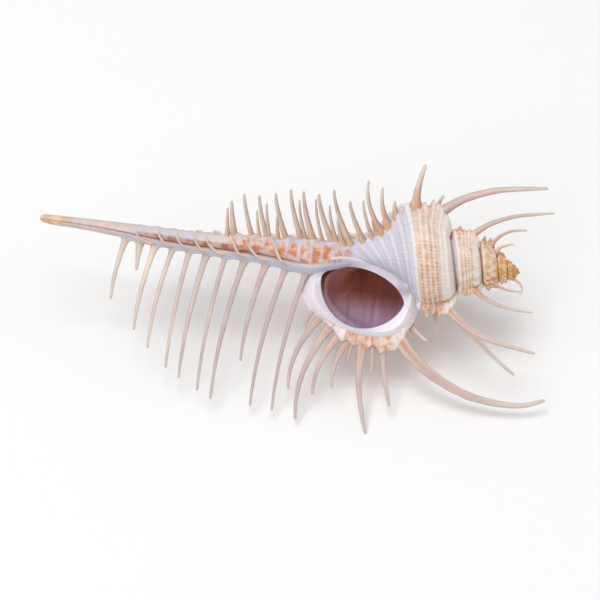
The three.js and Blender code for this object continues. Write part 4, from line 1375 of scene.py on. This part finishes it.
# Stain and painted shade: one side, towards the back, is darker and brownish.
stain_and_shade = times(steps(flank, 0.1, -0.6), steps(girth, 0.5, -0.2), stain,
            steps(tip, 0.6, 0.95, 0.75, 0.0))
front = times(steps(girth, 0.6, 0.98), stain, 0.75, steps(tip, 0.5, 0.95, 1.0, 0.0))
back = times(steps(girth, -0.7, -0.98), stain, 0.5, steps(tip, 0.6, 0.95, 1.0, 0.0))
fresh = times(steps(girth, 0.93, 0.99), stain, 0.85, steps(tip, 0.16, 0.5, 1.0, 0.0))
tint = layered(
    blend(plus(tone, steps(clouds, 0.3, 0.7, -0.22, 0.22), clamp=True),
          (242, 228, 208), (196, 178, 180)),
    (steps(streaks, 0.45, 0.68, 0.0, 0.45), (206, 176, 158)),
    # Painted shade: both edges of each spine are darker.
    (steps(work("ABSOLUTE", flank), 0.5, 1.0, 0.0, 0.5), (182, 154, 148)),
    (root, (214, 156, 108)),
    (stain_and_shade, (180, 132, 118)),
    # stain and painted shade on one side
    (front, (192, 158, 154)),
    (back, blend(steps(tip, 0.1, 0.5), (206, 152, 110), (196, 162, 158))),
    (fresh, (212, 130, 64)),
    (steps(tip, 0.7, 1.0, 0.0, 0.45), (204, 195, 188)))
put_on(spine_paint, tint, steps(grain, 0.25, 0.75, 0.96, 1.03), plus(streaks, times(grain, 0.4)),
       strength=0.4, depth=0.00012)

for piece, material in ((wall, wall_paint), (spire, wall_paint), (varices, wall_paint),
                        (mouth, mouth_paint), (spines, spine_paint), (horns, spine_paint)):
    finish_piece(piece, material)
print("finished pieces:", len(PIECES))

# %% [markdown]
# ## The camera
# The camera looks at the aperture's side squarely, rolled a few degrees so that the canal rises to
# the left. A long lens from afar keeps the proportions true.

# %% The camera
ROLL = 5.0  # degrees that the axis is turned in the picture
PICTURE_WIDTH = 0.160  # metres across the picture at the shell
PICTURE_AT = (58.6, -13.2, 6.0)  # distance, height and depth at the picture's middle
LENS, SENSOR = 220.0, 36.0


def direction(distance, radius, azimuth):
    """The direction from a place on the axis to the one that is given."""
    return Vector(place(distance, radius, azimuth) - place(60.0, 0.0, 0.0)).normalized()


to_viewer, across, to_apex = direction(60, 1, 0), direction(60, 1, 90), direction(59, 0, 0)
roll = np.radians(ROLL)
right = to_apex * np.cos(roll) + across * np.sin(roll)
upward = across * np.cos(roll) - to_apex * np.sin(roll)
camera_data = bpy.data.cameras.new("camera")
camera_data.lens = LENS
camera_data.sensor_width = SENSOR
camera_data.clip_end = 10
camera = new_object("camera", camera_data)
camera.matrix_world = Matrix([(*sides, 0) for sides in zip(right, upward, to_viewer)]
                             + [(0, 0, 0, 1)])
camera.location = Vector(seen(*PICTURE_AT)) + to_viewer * (PICTURE_WIDTH * LENS / SENSOR)
bpy.context.scene.camera = camera
print("camera at", [round(v, 3) for v in camera.location])

# %% [markdown]
# ## Floor and light
# Big soft lamps stand round a plain pale floor, the brightest above the shell's far side, so that
# the mouth's upper part lies in its own shade. Their places are given along the picture's own axes,
# because that is how one thinks of light in a picture: from the left, from above, from the front.

# %% Floor and light
FLOOR_HALF = 3.0  # metres
LAMPS_AT = Vector((0, 0, 0.025))  # what the lamps face
floor_mesh = bpy.data.meshes.new("floor")
floor_mesh.from_pydata([(x * FLOOR_HALF, y * FLOOR_HALF, 0) for x, y in
                        ((-1, -1), (1, -1), (1, 1), (-1, 1))], [], [(0, 1, 2, 3)])
floor_mesh.materials.append(new_material("floor_paper", {"Base Color": (0.9, 0.9, 0.9, 1),
                                                         "Roughness": 0.9})[0])
floor = new_object("floor", floor_mesh)


def softbox(name, to_right, up, near, distance, size, power, tone=(1, 1, 1)):
    """A square lamp that faces the shell, from a direction given along the picture's own axes."""
    data = bpy.data.lights.new(name, "AREA")
    data.size = size
    data.energy = power
    data.color = tone
    lamp = new_object(name, data)
    away = (right * to_right + upward * up + to_viewer * near).normalized()
    lamp.location = LAMPS_AT + away * distance
    lamp.rotation_euler = away.to_track_quat("Z", "Y").to_euler()


softbox("key", -0.2, 0.7, 0.85, 1.3, 0.7, 8.5)
softbox("front", -0.45, -0.05, 1.0, 1.5, 0.9, 4.2, (0.97, 0.98, 1.0))
softbox("side", 1.0, 0.15, 0.4, 1.2, 0.6, 1.6, (1.0, 0.97, 0.93))
world = bpy.data.worlds.new("studio")
world.use_nodes = True
world.node_tree.nodes["Background"].inputs["Color"].default_value = (1, 1, 1, 1)
world.node_tree.nodes["Background"].inputs["Strength"].default_value = 0.5
bpy.context.scene.world = world
bpy.context.scene.view_settings.view_transform = "Standard"
